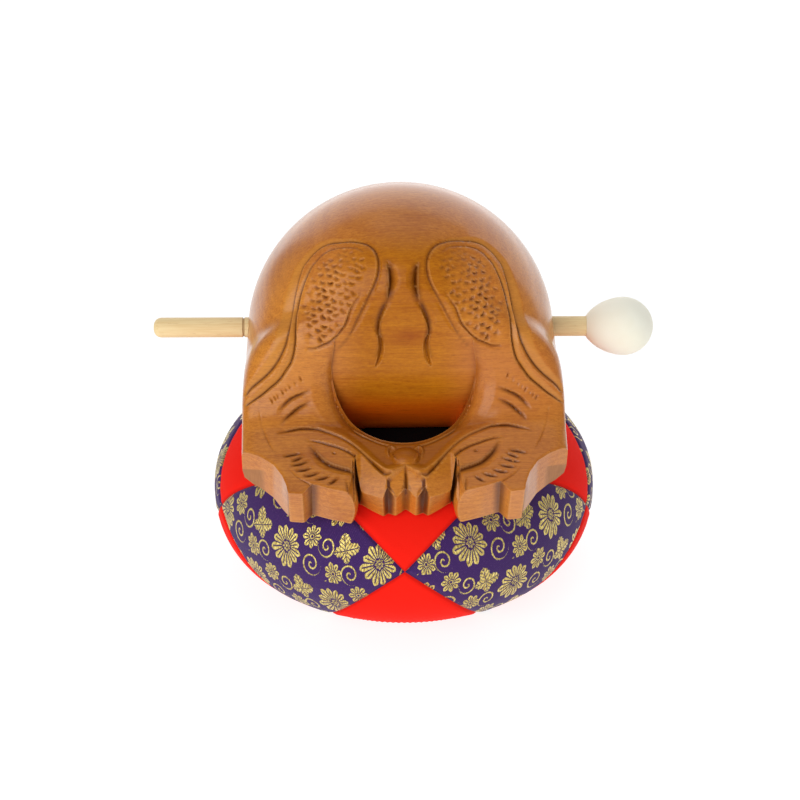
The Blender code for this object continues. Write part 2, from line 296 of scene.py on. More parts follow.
def belly_height(y):
    """Height of the belly's surface, which the hole leaves standing."""
    share = np.clip((BELLY_Y - y) / BELLY_DEPTH, -1, 1)
    ellipse = BELLY_HEIGHT * np.sqrt(1 - share ** 2)
    top = middle_height(STRIP_JOIN, DRUM_TOP, TONGUE_TOP, TOP_SLOPE)
    join_share = (BELLY_Y - BELLY_JOIN) / BELLY_DEPTH
    low = BELLY_HEIGHT * math.sqrt(1 - join_share ** 2)
    low_slope = BELLY_HEIGHT / BELLY_DEPTH * join_share / math.sqrt(1 - join_share ** 2)
    top_slope = (middle_height(STRIP_JOIN + 0.5, DRUM_TOP, TONGUE_TOP, TOP_SLOPE)
                 - middle_height(STRIP_JOIN - 0.5, DRUM_TOP, TONGUE_TOP, TOP_SLOPE))
    span = STRIP_JOIN - BELLY_JOIN
    t = np.clip((y - BELLY_JOIN) / span, 0, 1)
    bridge = ((1 + 2 * t) * (1 - t) ** 2 * low + t * t * (3 - 2 * t) * top
              + t * (1 - t) ** 2 * span * low_slope - t * t * (1 - t) * span * top_slope)
    above = top + (y - STRIP_JOIN) * CLEAR_SLOPE
    return np.where(y < BELLY_JOIN, ellipse, np.where(y > STRIP_JOIN, above, bridge))


print("the belly stands", round(float(belly_height(np.array(-42.0))), 1), "mm up at its front")

# %% [markdown]
# ## Rim, valley, snouts and pearl
# The hole's rim is rounded over, broadly at the cheeks and narrowly in front. Between crest and
# rim lies a shallow valley. In front of the crest the snouts fall away in flat facets, with a
# lozenge between them, and the pearl is a low bead. Sculpting brushes could raise and lower all
# this, but as heights over the plan they stay smooth and can be had before any line is cut.

# %% Rim, valley, snouts and pearl
RIM_TURNS = (0, 36, 44, 52, 62, 73, 81, 86, 91, 97)  # degrees round from the front
RIM_WIDTHS = (2.2, 2.6, 4.2, 7, 9.6, 10.5, 9.8, 8, 3.4, 0.3)
RIM_MARGIN = 0.4                                     # the rim stays this much above the belly
VALLEY_DEPTH = 1.5
VALLEY_SIDE, VALLEY_BACK, VALLEY_FRONT = 50, -48, -95
SNOUT_FACET = (8.8, 9, -85.5, -0.368, 0.532)         # height at x and y, slopes across and along
MIDDLE_FACET = (10.9, 0, -80.5, 0.1, 0.78)
SNOUT_SIDE, SNOUT_BACK = 23.5, -70
LOZENGE = (-80.5, 6.0, 8.0)                          # where it starts, its length and half width
PEARL = (0.0, -75.6, 6.3, 5.2, 3.8)                  # x, y, half width, half depth, rise
PEARL_BED = 0.6                                      # below the valley's floor


def valley_share(x, y):
    """1 on the floor of the valley between crest and rim, 0 outside it."""
    side = np.abs(x)
    near = (side < VALLEY_SIDE) & (y < VALLEY_BACK) & (y > VALLEY_FRONT)
    share = np.zeros(x.shape)
    away, left = plan_distance(-side[near], y[near], curve(CREST, 0.5))
    share[near] = ease(0.3, 5, away * left) * ease(44, 36, side[near]) * ease(-50, -61, y[near])
    return share


def plane(side, y, facet):
    """Height of a flat facet."""
    height, at_side, at_y, across, along = facet
    return height + across * (side - at_side) + along * (y - at_y)


def carved_top(x, y):
    """Height of the top with its broad forms."""
    side = np.abs(x)
    top = top_height(x, y)
    # the rounded rim of the hole
    reach = np.hypot(x, y - HOLE_Y) - hole_radius(top)
    turn = np.degrees(np.arctan2(side, HOLE_Y - y))
    width = np.interp(turn, RIM_TURNS, RIM_WIDTHS)
    bearing = np.radians(turn)
    edge_x, edge_y = HOLE_MOUTH * np.sin(bearing), HOLE_Y - HOLE_MOUTH * np.cos(bearing)
    room = top_height(edge_x, edge_y) - belly_height(edge_y) - RIM_MARGIN
    depth = np.clip(np.minimum(0.8 * width, room), 0, None)
    inward = np.clip(1 - reach / width, 0, 1)
    outside = 0.25 * inward + 0.75 * inward ** 3
    inside = np.clip(1 + reach / 4, 0, 1)
    rim_drop = depth * np.where(reach > 0, outside, inside)
    top = top - rim_drop - VALLEY_DEPTH * valley_share(x, y)
    # the facets of the snouts
    snout = plane(side, y, SNOUT_FACET) + 3 * ease(19.5, SNOUT_SIDE, side)
    middle = plane(side, y, MIDDLE_FACET)
    start, length, half = LOZENGE
    in_middle = ease(-1.1, 1.1, half * np.clip((start - y) / length, 0, 1) - side)
    facet = snout + (middle - snout) * np.where(y < start, in_middle, 0)
    top = np.where((side < SNOUT_SIDE) & (y < SNOUT_BACK), np.minimum(top, facet), top)
    # the pearl
    px, py, across, along, rise = PEARL
    spread = ((x - px) / across) ** 2 + ((y - py) / along) ** 2
    bead = TONGUE_TOP - VALLEY_DEPTH - PEARL_BED + rise * np.sqrt(np.clip(1 - spread, 0, 1))
    return np.where(spread < 1, np.maximum(top, bead), top)


pearl_top = carved_top(np.array([PEARL[0]]), np.array([PEARL[1]]))[0]
print("the pearl stands", round(float(pearl_top), 1), "mm above the saw cut")

# %% [markdown]
# ## The blank
# Carved detail needs points close together where the chisel goes, and few elsewhere. So the
# blank starts as a flat grid, like a sheet of cloth, with most of its rows and columns kept for
# the carved top. The sheet is wrapped round the drum section by section, sewn up and capped.

# %% Wrap the blank
OVER, UNDER = 312, 36        # columns across the top and the underside
CARVED_BACK = 12.0
CARVED_ROWS, REAR_ROWS = 232, 26
HEADS_BACK = -46.0
HEADS_CLOSER = 1.35          # rows are this much closer over the heads
ROW_SAMPLES = 1500


def row_places():
    """Places along Y for the sections: even steps over the carved top, then wider ones."""
    y = np.linspace(TONGUE_FRONT, CARVED_BACK, ROW_SAMPLES)
    height = middle_height(y, DRUM_TOP, TONGUE_TOP, TOP_SLOPE)
    steps = np.hypot(np.diff(y), np.diff(height)) * np.where(y[1:] < HEADS_BACK, HEADS_CLOSER, 1)
    along = np.concatenate([[0], np.cumsum(steps)])
    carved = np.interp(np.linspace(0, along[-1], CARVED_ROWS + 1), along, y)
    turn = math.asin(CARVED_BACK / DRUM_REAR)
    rear = DRUM_REAR * np.sin(np.linspace(turn, math.pi / 2, REAR_ROWS + 1))[1:]
    return np.concatenate([carved, rear])


put_down()
columns, rows = OVER + UNDER, CARVED_ROWS + REAR_ROWS
bpy.ops.mesh.primitive_grid_add(x_subdivisions=columns, y_subdivisions=rows, size=1)
drum = named("carved_drum")
column, row = grid_places(drum, columns, rows)
wrapped = np.stack([section_row(y, OVER, UNDER) for y in row_places()])
blank = wrapped[row, column]
move_points(drum, blank)
facing = read_normals(drum)
if np.mean(np.sum(facing * blank, axis=1)) < 0:
    facing = -facing
print("the blank has", len(blank), "points")

# %% [markdown]
# ## The chisel
# Every carved line is a path over the top with a depth and two widths: how far it slopes up on
# its left and on its right, seen from above as it runs. A V with one wide and one steep side is
# what a skew chisel leaves, and it is what makes the ears look like folded ribbons. Cutting
# each line with a Boolean would take a cutter for each and leave slivers. Here every point of
# the blank is sunk as deep as the chisel went at its place, and a line is never drawn on flat
# paper: it is lifted onto the form first.

# %% Chisel
MOST_PAIRS = 4_000_000       # distances worked out at a time
CUT_POWER = 1.15             # a V cut with slightly hollow slopes
# a cut this deep is darkened all through: gathered lacquer and painted shade
FULL_DARKNESS_DEPTH = 1.05            # a cut this deep is stained all through


def on_form(path, spacing=0.3):
    """A path lifted onto the carved form: its places, its direction and its left."""
    line = curve(path, spacing)
    x, y = line[:, 0], line[:, 1]
    places = np.column_stack([line, carved_top(x, y)])
    ahead = np.gradient(places, axis=0)
    ahead /= np.linalg.norm(ahead, axis=1)[:, None]
    rise_x = (top_height(x + 0.5, y) - top_height(x - 0.5, y))
    rise_y = (top_height(x, y + 0.5) - top_height(x, y - 0.5))
    up = np.column_stack([-rise_x, -rise_y, np.ones(len(x))])
    left = np.cross(up, ahead)
    return places, ahead, left / np.linalg.norm(left, axis=1)[:, None]


def along_path(values, count):
    """A few values spread evenly over a path's points."""
    return np.interp(np.linspace(0, 1, count), np.linspace(0, 1, len(values)), values)


def cut_line(points, path, depth, left, right, dark_width=0.8, fall=0.0, reach=9.0):
    """How deep each point is cut by a line, how far the form drops on its left, and how dark its line
    is: gathered lacquer with painted shade.
    """
    places, ahead, to_left = on_form(path)
    count = len(places)
    deep, wide_left, wide_right = (along_path(v, count) for v in (depth, left, right))
    margin = max(wide_left.max(), wide_right.max(), reach if fall else 0) + 1
    near = np.all((points > places.min(0) - margin) & (points < places.max(0) + margin), axis=1)
    cut, drop, dark = np.zeros((3, len(points)))
    chosen = np.flatnonzero(near)
    for part in np.array_split(chosen, max(len(chosen) * count // MOST_PAIRS, 1)):
        gap = np.linalg.norm(points[part][:, None, :] - places[None], axis=2)
        nearest = gap.argmin(axis=1)
        offset = points[part] - places[nearest]
        across = np.sum(offset * to_left[nearest], axis=1)
        past = np.abs(np.sum(offset * ahead[nearest], axis=1))
        past = np.where((nearest == 0) | (nearest == count - 1), past, 0)
        width = np.where(across > 0, wide_left[nearest], wide_right[nearest])
        share = np.hypot(across, past) / width
        cut[part] = deep[nearest] * np.clip(1 - share, 0, 1) ** CUT_POWER
        side_drop = np.where(across > 0, 1 - across / reach, 0) * ease(4, 0, past)
        drop[part] = fall * np.clip(side_drop, 0, 1) * np.clip(across / 0.8, 0, 1)
        closeness = np.clip(1 - np.hypot(across, past) / dark_width, 0, 1)
        dark[part] = closeness * np.clip(deep[nearest] / FULL_DARKNESS_DEPTH, 0, 1)
    return cut, drop, dark


print("the chisel is sharp")

# %% [markdown]
# ## Points drawn onto the cuts
# A cut runs aslant over the rows of the blank, so its bottom would come out as a row of small
# steps. The cure is the one that a modeller uses by hand: the points nearest a cut's bottom and
# its edges are slid sideways until they lie exactly on them.

# %% Points drawn onto the cuts
WIDE_SLOPE = 1.4             # a slope at least this wide has an edge worth catching


def draw_onto(points, path, left, right, catch=0.3):
    """Sideways moves that bring the points nearest a cut's bottom and edges exactly onto them."""
    places, _, to_left = on_form(path)
    count = len(places)
    wide_left, wide_right = (along_path(v, count) for v in (left, right))
    margin = max(wide_left.max(), wide_right.max()) + 1
    near = np.all((points > places.min(0) - margin) & (points < places.max(0) + margin), axis=1)
    moves = np.zeros(points.shape)
    chosen = np.flatnonzero(near)
    for part in np.array_split(chosen, max(len(chosen) * count // MOST_PAIRS, 1)):
        gap = np.linalg.norm(points[part][:, None, :] - places[None], axis=2)
        nearest = gap.argmin(axis=1)
        offset = points[part] - places[nearest]
        across = np.sum(offset * to_left[nearest], axis=1)
        inside = (nearest > 0) & (nearest < count - 1)
        goals = [np.zeros(len(part))]
        goals += [edge[nearest] * sign for edge, sign in ((wide_left, 1), (wide_right, -1))
                  if edge.max() > WIDE_SLOPE]
        goals = np.array(goals)
        best = np.abs(goals - across).argmin(axis=0)
        step = goals[best, np.arange(len(part))] - across
        step = np.where(inside & (np.abs(step) < catch), step, 0)
        moves[part] = step[:, None] * to_left[nearest]
    return moves


print("points can be drawn onto a cut")

# %% [markdown]
# ## Lines of the ears
# Each ear is a long loop with a band inside its outer edge and a field of scales within. Two
# strokes, a scoop and the bridge of the nose under it, run down beside the strip in the middle.
# The paths are given for the side at -X. The other side is their mirror image, a little less
# exact, as from a hand.

# %% Lines of the ears
EAR = ((-70.4, -44.2), (-68.5, -43.1), (-65.1, -41.8), (-61.7, -40.3), (-58.3, -38.2),
       (-55.7, -35.8), (-53.7, -33.1), (-52.2, -29.7), (-50.4, -19.7), (-48.4, -10.3),
       (-45.2, -0.2), (-42.9, 2.9), (-39.8, 5.9), (-35.9, 8), (-32, 8.4), (-27, 7.4),
       (-22.5, 6.4), (-18.7, 4.9), (-15.4, 3), (-12.7, -0.1), (-11.2, -3.7), (-10.7, -7.6),
       (-11.4, -12), (-13.3, -15.8), (-16.1, -19.6), (-20, -25.1), (-23.4, -29.5), (-28.1, -33.5))
BAND = ((-70.3, -48.6), (-67.9, -47.9), (-63.9, -46.4), (-59.9, -44.4), (-55.8, -42.2),
        (-52.3, -39.2), (-49.7, -36.3), (-48.3, -31.7), (-48.1, -26), (-47.8, -20.3),
        (-46.4, -14.2), (-44.9, -9.7), (-43.3, -6), (-40.7, -1.3), (-38.2, 1.2), (-35.4, 3.4),
        (-32, 4.5), (-28.7, 4.4), (-24.2, 3.4), (-20.1, 1.9), (-17.7, -0.3))
FIELD = ((-29.8, 3.2), (-33.4, 1.9), (-36.5, -0.2), (-38.8, -3.1), (-41.1, -6.3), (-42.2, -9.7),
         (-44.3, -14), (-45.1, -17.9), (-45.5, -22.8), (-45.5, -26.9), (-45, -29.6),
         (-43.4, -32.1), (-41.5, -33.1), (-36.5, -32.6), (-32.6, -31.8), (-29.2, -30.1),
         (-26.7, -28), (-25.3, -25.8), (-23.8, -22.8), (-21.6, -20), (-19.1, -16.7),
         (-16.8, -12.6), (-15.9, -8.8), (-16.6, -4.4), (-19.3, 0.1), (-24.2, 3))
FIELD_EDGE = ((-18.6, -16), (-19.8, -18.4), (-21.6, -20.2), (-23.4, -22.4), (-24.4, -24.5),
              (-25.5, -26.6), (-27.3, -28.4), (-29.9, -30.3), (-33, -31.8), (-36, -32.6),
              (-39.1, -33.3), (-42.6, -33.2))
SCOOP = ((-6.8, -6.6), (-5.9, -10.4), (-5.7, -14.3), (-6.1, -17.4), (-7, -20.4))
BRIDGE = ((-7.2, -20.5), (-8.4, -21.7), (-9.7, -23.7), (-10.8, -25.8), (-11.3, -28),
          (-11.1, -29.7), (-10.3, -31.4), (-10.3, -33.5), (-11.4, -35.4), (-11.7, -36.4))
print("an ear's outer line is", len(curve(EAR, 1.0)) - 1, "mm long in plan")

# %% [markdown]
# ## Lines of the heads
# Brow, eyelid, the hollow under the eye, lips, gill strokes, fins and claws are all single cuts
# of one or other kind, and so they are lines too.

# %% Lines of the heads
BROW = ((-56.6, -62.6), (-54.7, -62), (-51, -61.2), (-47, -60.3), (-43.6, -60.2), (-39.1, -60.6),
        (-35.7, -61.8), (-32.3, -63.3), (-28.4, -65.3), (-24.5, -68.1), (-21.1, -71.3),
        (-18.3, -74.4), (-15.6, -77.5), (-12.8, -80.5), (-10.6, -82.7), (-9, -84), (-6.2, -84.1))
LID = ((-43.9, -66.8), (-40.2, -67.1), (-36.9, -67.9), (-33.5, -69.2), (-30.1, -70.4),
       (-27.3, -71.8), (-24.6, -73.5), (-22.4, -75.3))
UNDER_EYE = ((-41.7, -70.2), (-40.3, -72.6), (-38.6, -75), (-36.4, -77.4), (-33.6, -79.5),
             (-30.3, -81), (-26.3, -82.4), (-22.6, -83.8))
NECK = ((-65.1, -49.7), (-64.3, -53.2), (-63.7, -57.7), (-62.6, -61.7), (-61.4, -65.1),
        (-60.1, -68.3), (-58.3, -72.1), (-55.1, -77.6), (-49.9, -83.8), (-47.1, -86.6),
        (-42.1, -90))
GILL_STROKES = (((-56, -52.6), (-53.7, -50.3), (-50.3, -48.1), (-46.8, -46.9), (-42.5, -45.7)),
                ((-54.7, -57.6), (-52.6, -55.3), (-49.8, -53.2), (-46.9, -51.3), (-42.6, -49.5)))
FINS = (((-53.8, -75), (-51, -74.4), (-46.2, -73.5)),
        ((-50.1, -77.5), (-47.6, -76.5), (-45.1, -75.2)),
        ((-50.4, -79.8), (-46.5, -79.1), (-42.8, -77.6)),
        ((-48.2, -82.6), (-44.8, -82.3), (-41.5, -81.2)),
        ((-44.6, -85.3), (-41.5, -85), (-38.4, -83.8)),
        ((-39.6, -87.4), (-36.5, -86.8), (-33.7, -85.6)),
        ((-34, -89.9), (-32, -88.6), (-30.1, -86.9)))
PUPIL = ((-32.0, -73.6), (-31.0, -73.9))
LIP = ((-24.8, -57.7), (-21.3, -62), (-16.9, -64.9), (-11.4, -67.8), (-5.6, -70.1))
CLAWS = (((-7.4, -75.4), (-7.9, -71.8), (-6.3, -69.9), (-4.6, -71)),
         ((-6.1, -74), (-5.6, -76.6), (-3.9, -78.5)))
CHEEK_CUT = ((-26.5, -88), (-25.9, -90.7), (-25.7, -94))
MIDDLE = ((0, -80.6), (0, -84), (0, -88), (0, -93))
print("the brow line is", len(curve(BROW, 1.0)) - 1, "mm long in plan")

# %% [markdown]
# ## The list of cuts
# Each line now gets its depth and slopes, a few values spread evenly along it, and the width of
# the dark line in its bottom, which is gathered lacquer and painted shade. A row of short ticks runs
# up beside the gill strokes.

# %% The list of cuts
EAR_SLOPES = (2.5, 5, 6.2, 5.6, 4.2, 2.8, 1.5, 1.2, 1.6, 1.8, 1)
BAND_SLOPES = (2, 3.3, 3, 2.2, 1.6, 1.6, 1.6, 1, 1)
TICKS_FROM, TICKS_RUN = (-58.8, -48.6), (13.0, 6.7)
TICKS = ((0, 1.2), (0.12, 1), (0.22, 0.8), (0.38, 1.1), (0.5, 0.6), (0.63, 0.8), (0.81, 0.7),
         (1, 1.2))           # share of the run, and size
LINES = [
    # path, depth, slope to its left, slope to its right, width of the dark line in it
    (EAR, (1.0, 1.8, 2.0, 1.9, 1.5, 1.0, 0.9, 0.9, 0.9, 0.8, 0.5), EAR_SLOPES,
     (1.3, 1.4, 1.5, 1.4, 1.2, 1, 1, 1, 1, 1, 1), 0.9),
    (BAND, (0.8, 1.5, 1.6, 1.5, 1.2, 0.9, 0.7, 0.5, 0.2), BAND_SLOPES, (0.8,), 0.8),
    (FIELD_EDGE, (0.1, 0.6, 0.9, 0.9, 0.9, 0.5), (1.4,), (0.7,), 0.9),
    (SCOOP, (0.4, 1.6, 2.2, 1.7, 0.5), (0.8, 3.4, 4.3, 3.4, 1), (0.8,), 2.6),
    (BRIDGE, (0.5, 1.3, 1.6, 1.4, 0.9, 0.7, 0.4), (0.9,), (1, 3.4, 4, 3.4, 1.2, 1.4, 1), 1.9),
    (BROW, (0.3, 1.0, 1.2, 0.9, 0.7, 0.7, 0.7, 0.9, 1.3, 0.5), (0.7,), (1.2, 1.8, 1.6, 1.3, 1.3), 1.0),
    (LID, (0.2, 0.8, 0.9, 0.9, 0.9), (0.8,), (1.2,), 1.0),
    (UNDER_EYE, (0.4, 1.3, 1.6, 1.5, 1.1), (0.8,), (2.4, 4, 3.8, 2.8), 2.0),
    (PUPIL, (0.5, 0.9, 0.5), (0.9,), (0.9,), 1.1),
    (NECK, (0.05, 0.15, 0.1, 0.3, 0.3, 0.1, 0, 0, 0.2, 0.4, 0.5), (0.6,), (0.6,), 0.6),
    (LIP, (0.2, 0.8, 0.6, 0.5, 0.3), (0.6,), (1.1,), 0.9),
    (CHEEK_CUT, (0.2, 0.6, 0.5), (0.6,), (1.1,), 1.0),
    (MIDDLE, (0.4, 1.2, 1.5, 1.6), (0.8,), (0.8,), 1.2),
]
LINES += [(path, (0.2, 0.9, 1.1, 1.0, 0.4), (0.9,), (1.5,), 1.3) for path in GILL_STROKES]
LINES += [(path, (0.4, 1.0, 1.1, 0.9, 0.3), (0.8,), (1.1,), 1.2) for path in FINS]
LINES += [(path, (-0.5, -1.3, -1.3, -0.5), (1.1,), (1.1,), 0.1) for path in CLAWS]
for share, size in TICKS:
    x, y = (start + run * share for start, run in zip(TICKS_FROM, TICKS_RUN))
    LINES.append((((x - 0.5 * size, y + 0.8 * size), (x + 0.3 * size, y - 0.8 * size)),
                  (0.2, 0.6 * size, 0.1), (0.7,), (0.6,), 0.8))
print(len(LINES), "lines are carved on each side")

# %% [markdown]
# ## Scales
# The ears' fields are chipped with a gouge: rows of short wedge-shaped nicks, each steep on its
# upper side, staggered like fish scales. They are cut lightly at the top of the field and
# firmly lower down, and no two are quite alike. Dozens of tiny cutters would do it too, but a
# nick is only a short cut, so it is sunk into the points as the lines are. What looks like
# chance comes from sines of the row and the nick, so that it is the same on every run.

# %% Scale nicks
NICK_STEP, ROW_STEP = 3.9, 2.5            # from nick to nick, and from row to row
NICK_LEAN = math.radians(-26)             # how far the rows turn from level
NICK_HALF = 1.7                           # half its length
NICK_MARGIN = 0.7                         # clear of the field's edge
NICK_REACH = 3.2                          # no point further off is cut
NICK_ROWS, NICKS_IN_ROW = range(-9, 10), range(-7, 8)    # enough to cover the field
UNEVEN = 0.35                             # how far sizes and turns differ


def like_chance(i, j, a, b):
    """A fixed number from -1 to 1 for nick j of row i."""
    return math.sin(a * i + b * j)


def inside_field(x, y, line):
    """Distance inside the field's edge, negative outside it."""
    away, left = plan_distance(x, y, line)
    middle = line.mean(axis=0)
    turned = np.unwrap(np.arctan2(line[:, 1] - middle[1], line[:, 0] - middle[0]))
    clockwise = turned[-1] < turned[0]
    return away * np.where(clockwise, -left, left)


def nick_places():
    """Where each nick is, and how deep."""
    edge = curve(FIELD + FIELD[:1], 0.5)
    along = np.array([math.cos(NICK_LEAN), math.sin(NICK_LEAN)])
    down = np.array([along[1], -along[0]])
    middle = edge.mean(axis=0)
    found = []
    for i in NICK_ROWS:
        for j in NICKS_IN_ROW:
            aside = 0.45 * like_chance(i, j, 12.9, 78.2)
            lower = 0.4 * like_chance(i, j, 39.3, 11.1)
            place = (middle + along * (NICK_STEP * (j + 0.5 * (i % 2)) + aside)
                     + down * (ROW_STEP * i + lower))
            room = float(inside_field(place[:1], place[1:], edge)[0])
            if room > NICK_MARGIN:
                firm = ease(8, -14, place[1]) * ease(-10, -30, place[0])
                swing = UNEVEN * like_chance(i, j, 23.1, 57.7)
                size = 1 + UNEVEN * like_chance(i, j, 31.7, 17.3)
                found.append((place[0], place[1], (0.3 + 0.6 * float(firm)) * size, swing))
    return found


def cut_nicks(points, places):
    """How deep each point is cut by short wedges, steep above and sloping out below."""
    tree = KDTree(len(points))
    for index, point in enumerate(points):
        tree.insert(point, index)
    tree.balance()
    cut = np.zeros(len(points))
    for x, y, depth, swing in places:
        z = float(carved_top(np.array([x]), np.array([y]))[0])
        rise = float(top_height(np.array([x]), np.array([y + 0.5]))[0]
                     - top_height(np.array([x]), np.array([y - 0.5]))[0])
        slant = float(top_height(np.array([x + 0.5]), np.array([y]))[0]
                      - top_height(np.array([x - 0.5]), np.array([y]))[0])
        along = Vector((math.cos(NICK_LEAN + swing), math.sin(NICK_LEAN + swing), 0))
        along.z = along.x * slant + along.y * rise
        along.normalize()
        down = along.cross(Vector((-slant, -rise, 1))).normalized()
        for place, index, _ in tree.find_range((x, y, z), NICK_REACH):
            offset = place - Vector((x, y, z))
            a = offset.dot(along) / NICK_HALF
            b = offset.dot(down) + 0.5 * a * a
            slope = (b + 0.8) / 0.45 if b < -0.35 else (1.25 - b) / 1.6
            cut[index] = max(cut[index], depth * max(1 - a * a, 0) * min(max(slope, 0), 1))
    return cut


nicks = nick_places()
print(len(nicks), "nicks on each ear")

# %% [markdown]
# ## Two sides of one hand
# The heads are sawn to an outline that is a little fuller below than above, so their walls lean.
# The lines were given for one side, so a point on the other side is folded over before it looks
# for them, and moved by a fraction of a millimetre so that the sides aren't perfect copies. A
# Mirror modifier would make them perfect copies, and two sets of paths would be twice the work.

# %% Two sides of one hand
HAND_X, HAND_Y = 0.35, 0.45               # how far the two sides differ
OUTLINE_STEPS = 220
OUTLINE_BACK = -66                        # the plan outline is in front of here
ARRIS_DROP = 0.45
TOP_OUTLINE = ((-80, -44), (-80, -68), (-72, -70.5), (-69.6, -71.6), (-63.9, -74.7),
               (-58.3, -79), (-54.5, -84.8), (-52.5, -90.5), (-52, -94.3), (-45.6, -94.9),
               (-41.4, -89.5), (-33.8, -92.2), (-25.8, -94.2), (-24.9, -90.6), (-22.3, -75.7),
               (-20.3, -88), (-19.6, -91), (-15, -92.4), (-10.4, -93.5), (-8.2, -88),
               (-4.6, -92.2), (0, -87.5))
LOW_OUTLINE = ((-80, -44), (-80, -68), (-72, -73), (-69.8, -74.4), (-64.6, -77.2),
               (-58.9, -81.9), (-54.9, -87.9), (-51.9, -92), (-51.6, -94.8), (-45.1, -95.4),
               (-41.6, -91.2), (-33, -94), (-24.2, -96.3), (-22.6, -93.5), (-20.8, -85.2),
               (-20, -86.6), (-19.6, -86.2), (-15.6, -89.2), (-9.9, -92.7), (-7.8, -91.1),
               (-4.4, -92.5), (0, -89))


def left_hand(points):
    """Points folded onto the -X side, with the other hand's small differences."""
    folded = points.copy()
    other = points[:, 0] > 0
    folded[:, 0] = -np.abs(points[:, 0])
    folded[other, 0] += HAND_X * np.sin(points[other, 1] / 9)
    folded[other, 1] += HAND_Y * np.sin(points[other, 0] / 11 + 1)
    return folded


def all_cuts(points):
    """How much is carved off each point of the top, and how much is left standing."""
    folded = left_hand(points)
    total, proud = np.zeros(len(points)), np.zeros(len(points))
    for path, depth, left, right, _ in LINES:
        cut = cut_line(folded, path, depth, left, right)[0]
        total, proud = np.maximum(total, cut), np.minimum(proud, cut)
    return np.where(proud < 0, proud, total)


def gathered(points):
    """The top's points, with those beside a cut drawn onto it."""
    moved = points.copy()
    hand = np.where(points[:, 0] > 0, -1.0, 1.0)
    free = np.ones(len(points), bool)
    for path, _, left, right, _ in LINES:
        moves = draw_onto(left_hand(moved), path, left, right)
        moves[~free] = 0
        free &= ~np.any(moves, axis=1)
        moves[:, 0] *= hand
        moved += moves
    return moved


def outline_ease(x, y):
    """The arris of the plan outline, rounded over."""
    edge = evenly(np.asarray(TOP_OUTLINE[2:], float), OUTLINE_STEPS)
    near = y < OUTLINE_BACK
    drop = np.zeros(x.shape)
    away, _ = plan_distance(-np.abs(x[near]), y[near], edge)
    drop[near] = ARRIS_DROP * np.clip(1 - away, 0, 1) ** 2
    return drop


print("the heads' outline has", len(TOP_OUTLINE), "corners on each side")

# %% [markdown]
# ## Carve
# All cuts are taken inwards along the blank's own normals, and the deepest cut wins where two
# meet. The strip between the ears drops away beside each ear's inner line, and the fields of
# scales lie a little lower than their rims. The arrises of the outline are eased over, as a
# carver does before lacquering.

# %% Carve the top
STEEPEST = 1.6               # the broad forms fade out down the drum's sides
INNER_EAR = EAR[15:]
STRIP_DROP = 0.55
FIELD_DROP = 0.3
over_top = (blank[:, 2] > 0) & (blank[:, 1] < CARVED_BACK + 1)
shaped = blank.copy()
x, y = blank[over_top, 0], blank[over_top, 1]
height = top_height(x, y)
crest_height = middle_height(y, DRUM_TOP, TONGUE_TOP, TOP_SLOPE)
steep = np.clip(STEEPEST * height / np.maximum(crest_height, 1), 0, 1)
shaped[over_top, 2] -= (height - carved_top(x, y) + outline_ease(x, y)) * steep
top_points = gathered(shaped[over_top])
folded = left_hand(top_points)
cuts = all_cuts(top_points)
cuts = np.where(cuts < 0, cuts, np.maximum(cuts, cut_nicks(folded, nicks)))
strip_drop = cut_line(folded, INNER_EAR, (0,), (1,), (1,), fall=STRIP_DROP)[1]
field = inside_field(folded[:, 0], folded[:, 1], curve(FIELD + FIELD[:1], 0.5))
cuts += strip_drop + FIELD_DROP * ease(0, 2.5, np.where(folded[:, 1] < 6, field, 0))
shaped[over_top] = top_points - facing[over_top] * cuts[:, None]
move_points(drum, shaped)
close_up(drum)
print("the deepest cut is", round(float(cuts.max()), 2), "mm")

# %% [markdown]
# ## The heads' outline, as a solid
# What is sawn, bored or hollowed is taken away with solid cutters, because a Boolean leaves crisp
# edges that points sunk into a surface can't have. The first solid is the heads' outline. It
# starts as a filled circle whose points are moved onto the lowest outline, and its top face is
# extruded up level by level, each time onto the outline at that height. The cheeks swell between
# the levels.

# %% The heads' outline, as a solid
BULGE_Z, BULGE_REACH = -1.0, 11.0
BULGE = {11: (0, -0.5), 12: (2.4, 0.3), 13: (2.5, 0.6)}    # which corners swell, and how far
LEVELS = (-80, -13, *range(-12, 12), 12, 80)
BEHIND = [(80, 90), (-80, 90)]            # two corners that take in the rest of the drum


def stacked(name, levels):
    """A closed body through outlines at rising heights, each extruded from the last."""
    (first, z), rest = levels[0], levels[1:]
    put_down()
    bpy.ops.mesh.primitive_circle_add(vertices=len(first), fill_type="NGON")
    body = named(name)
    top = np.column_stack([first, np.full(len(first), z)])
    move_points(body, top)
    for outline, z in rest:
        edit_all(body)
        bpy.ops.mesh.select_all(action="DESELECT")
        bpy.ops.object.mode_set(mode="OBJECT")
        highest = max(body.data.polygons, key=lambda face: (face.center.z, -face.index))
        highest.select = True
        bpy.ops.object.mode_set(mode="EDIT")
        bpy.ops.mesh.select_mode(type="FACE")
        bpy.ops.mesh.extrude_region_move(TRANSFORM_OT_translate={"value": (0, 0, MM)})
        bpy.ops.object.mode_set(mode="OBJECT")
        points = read_points(body)
        raised = [v.index for v in body.data.vertices if v.select]
        gaps = np.linalg.norm(points[raised][:, None, :2] - top[None, :, :2], axis=2)
        top = np.column_stack([outline, np.full(len(outline), z)])
        points[raised] = top[gaps.argmin(axis=1)]
        move_points(body, points)
    close_up(body)
    return body


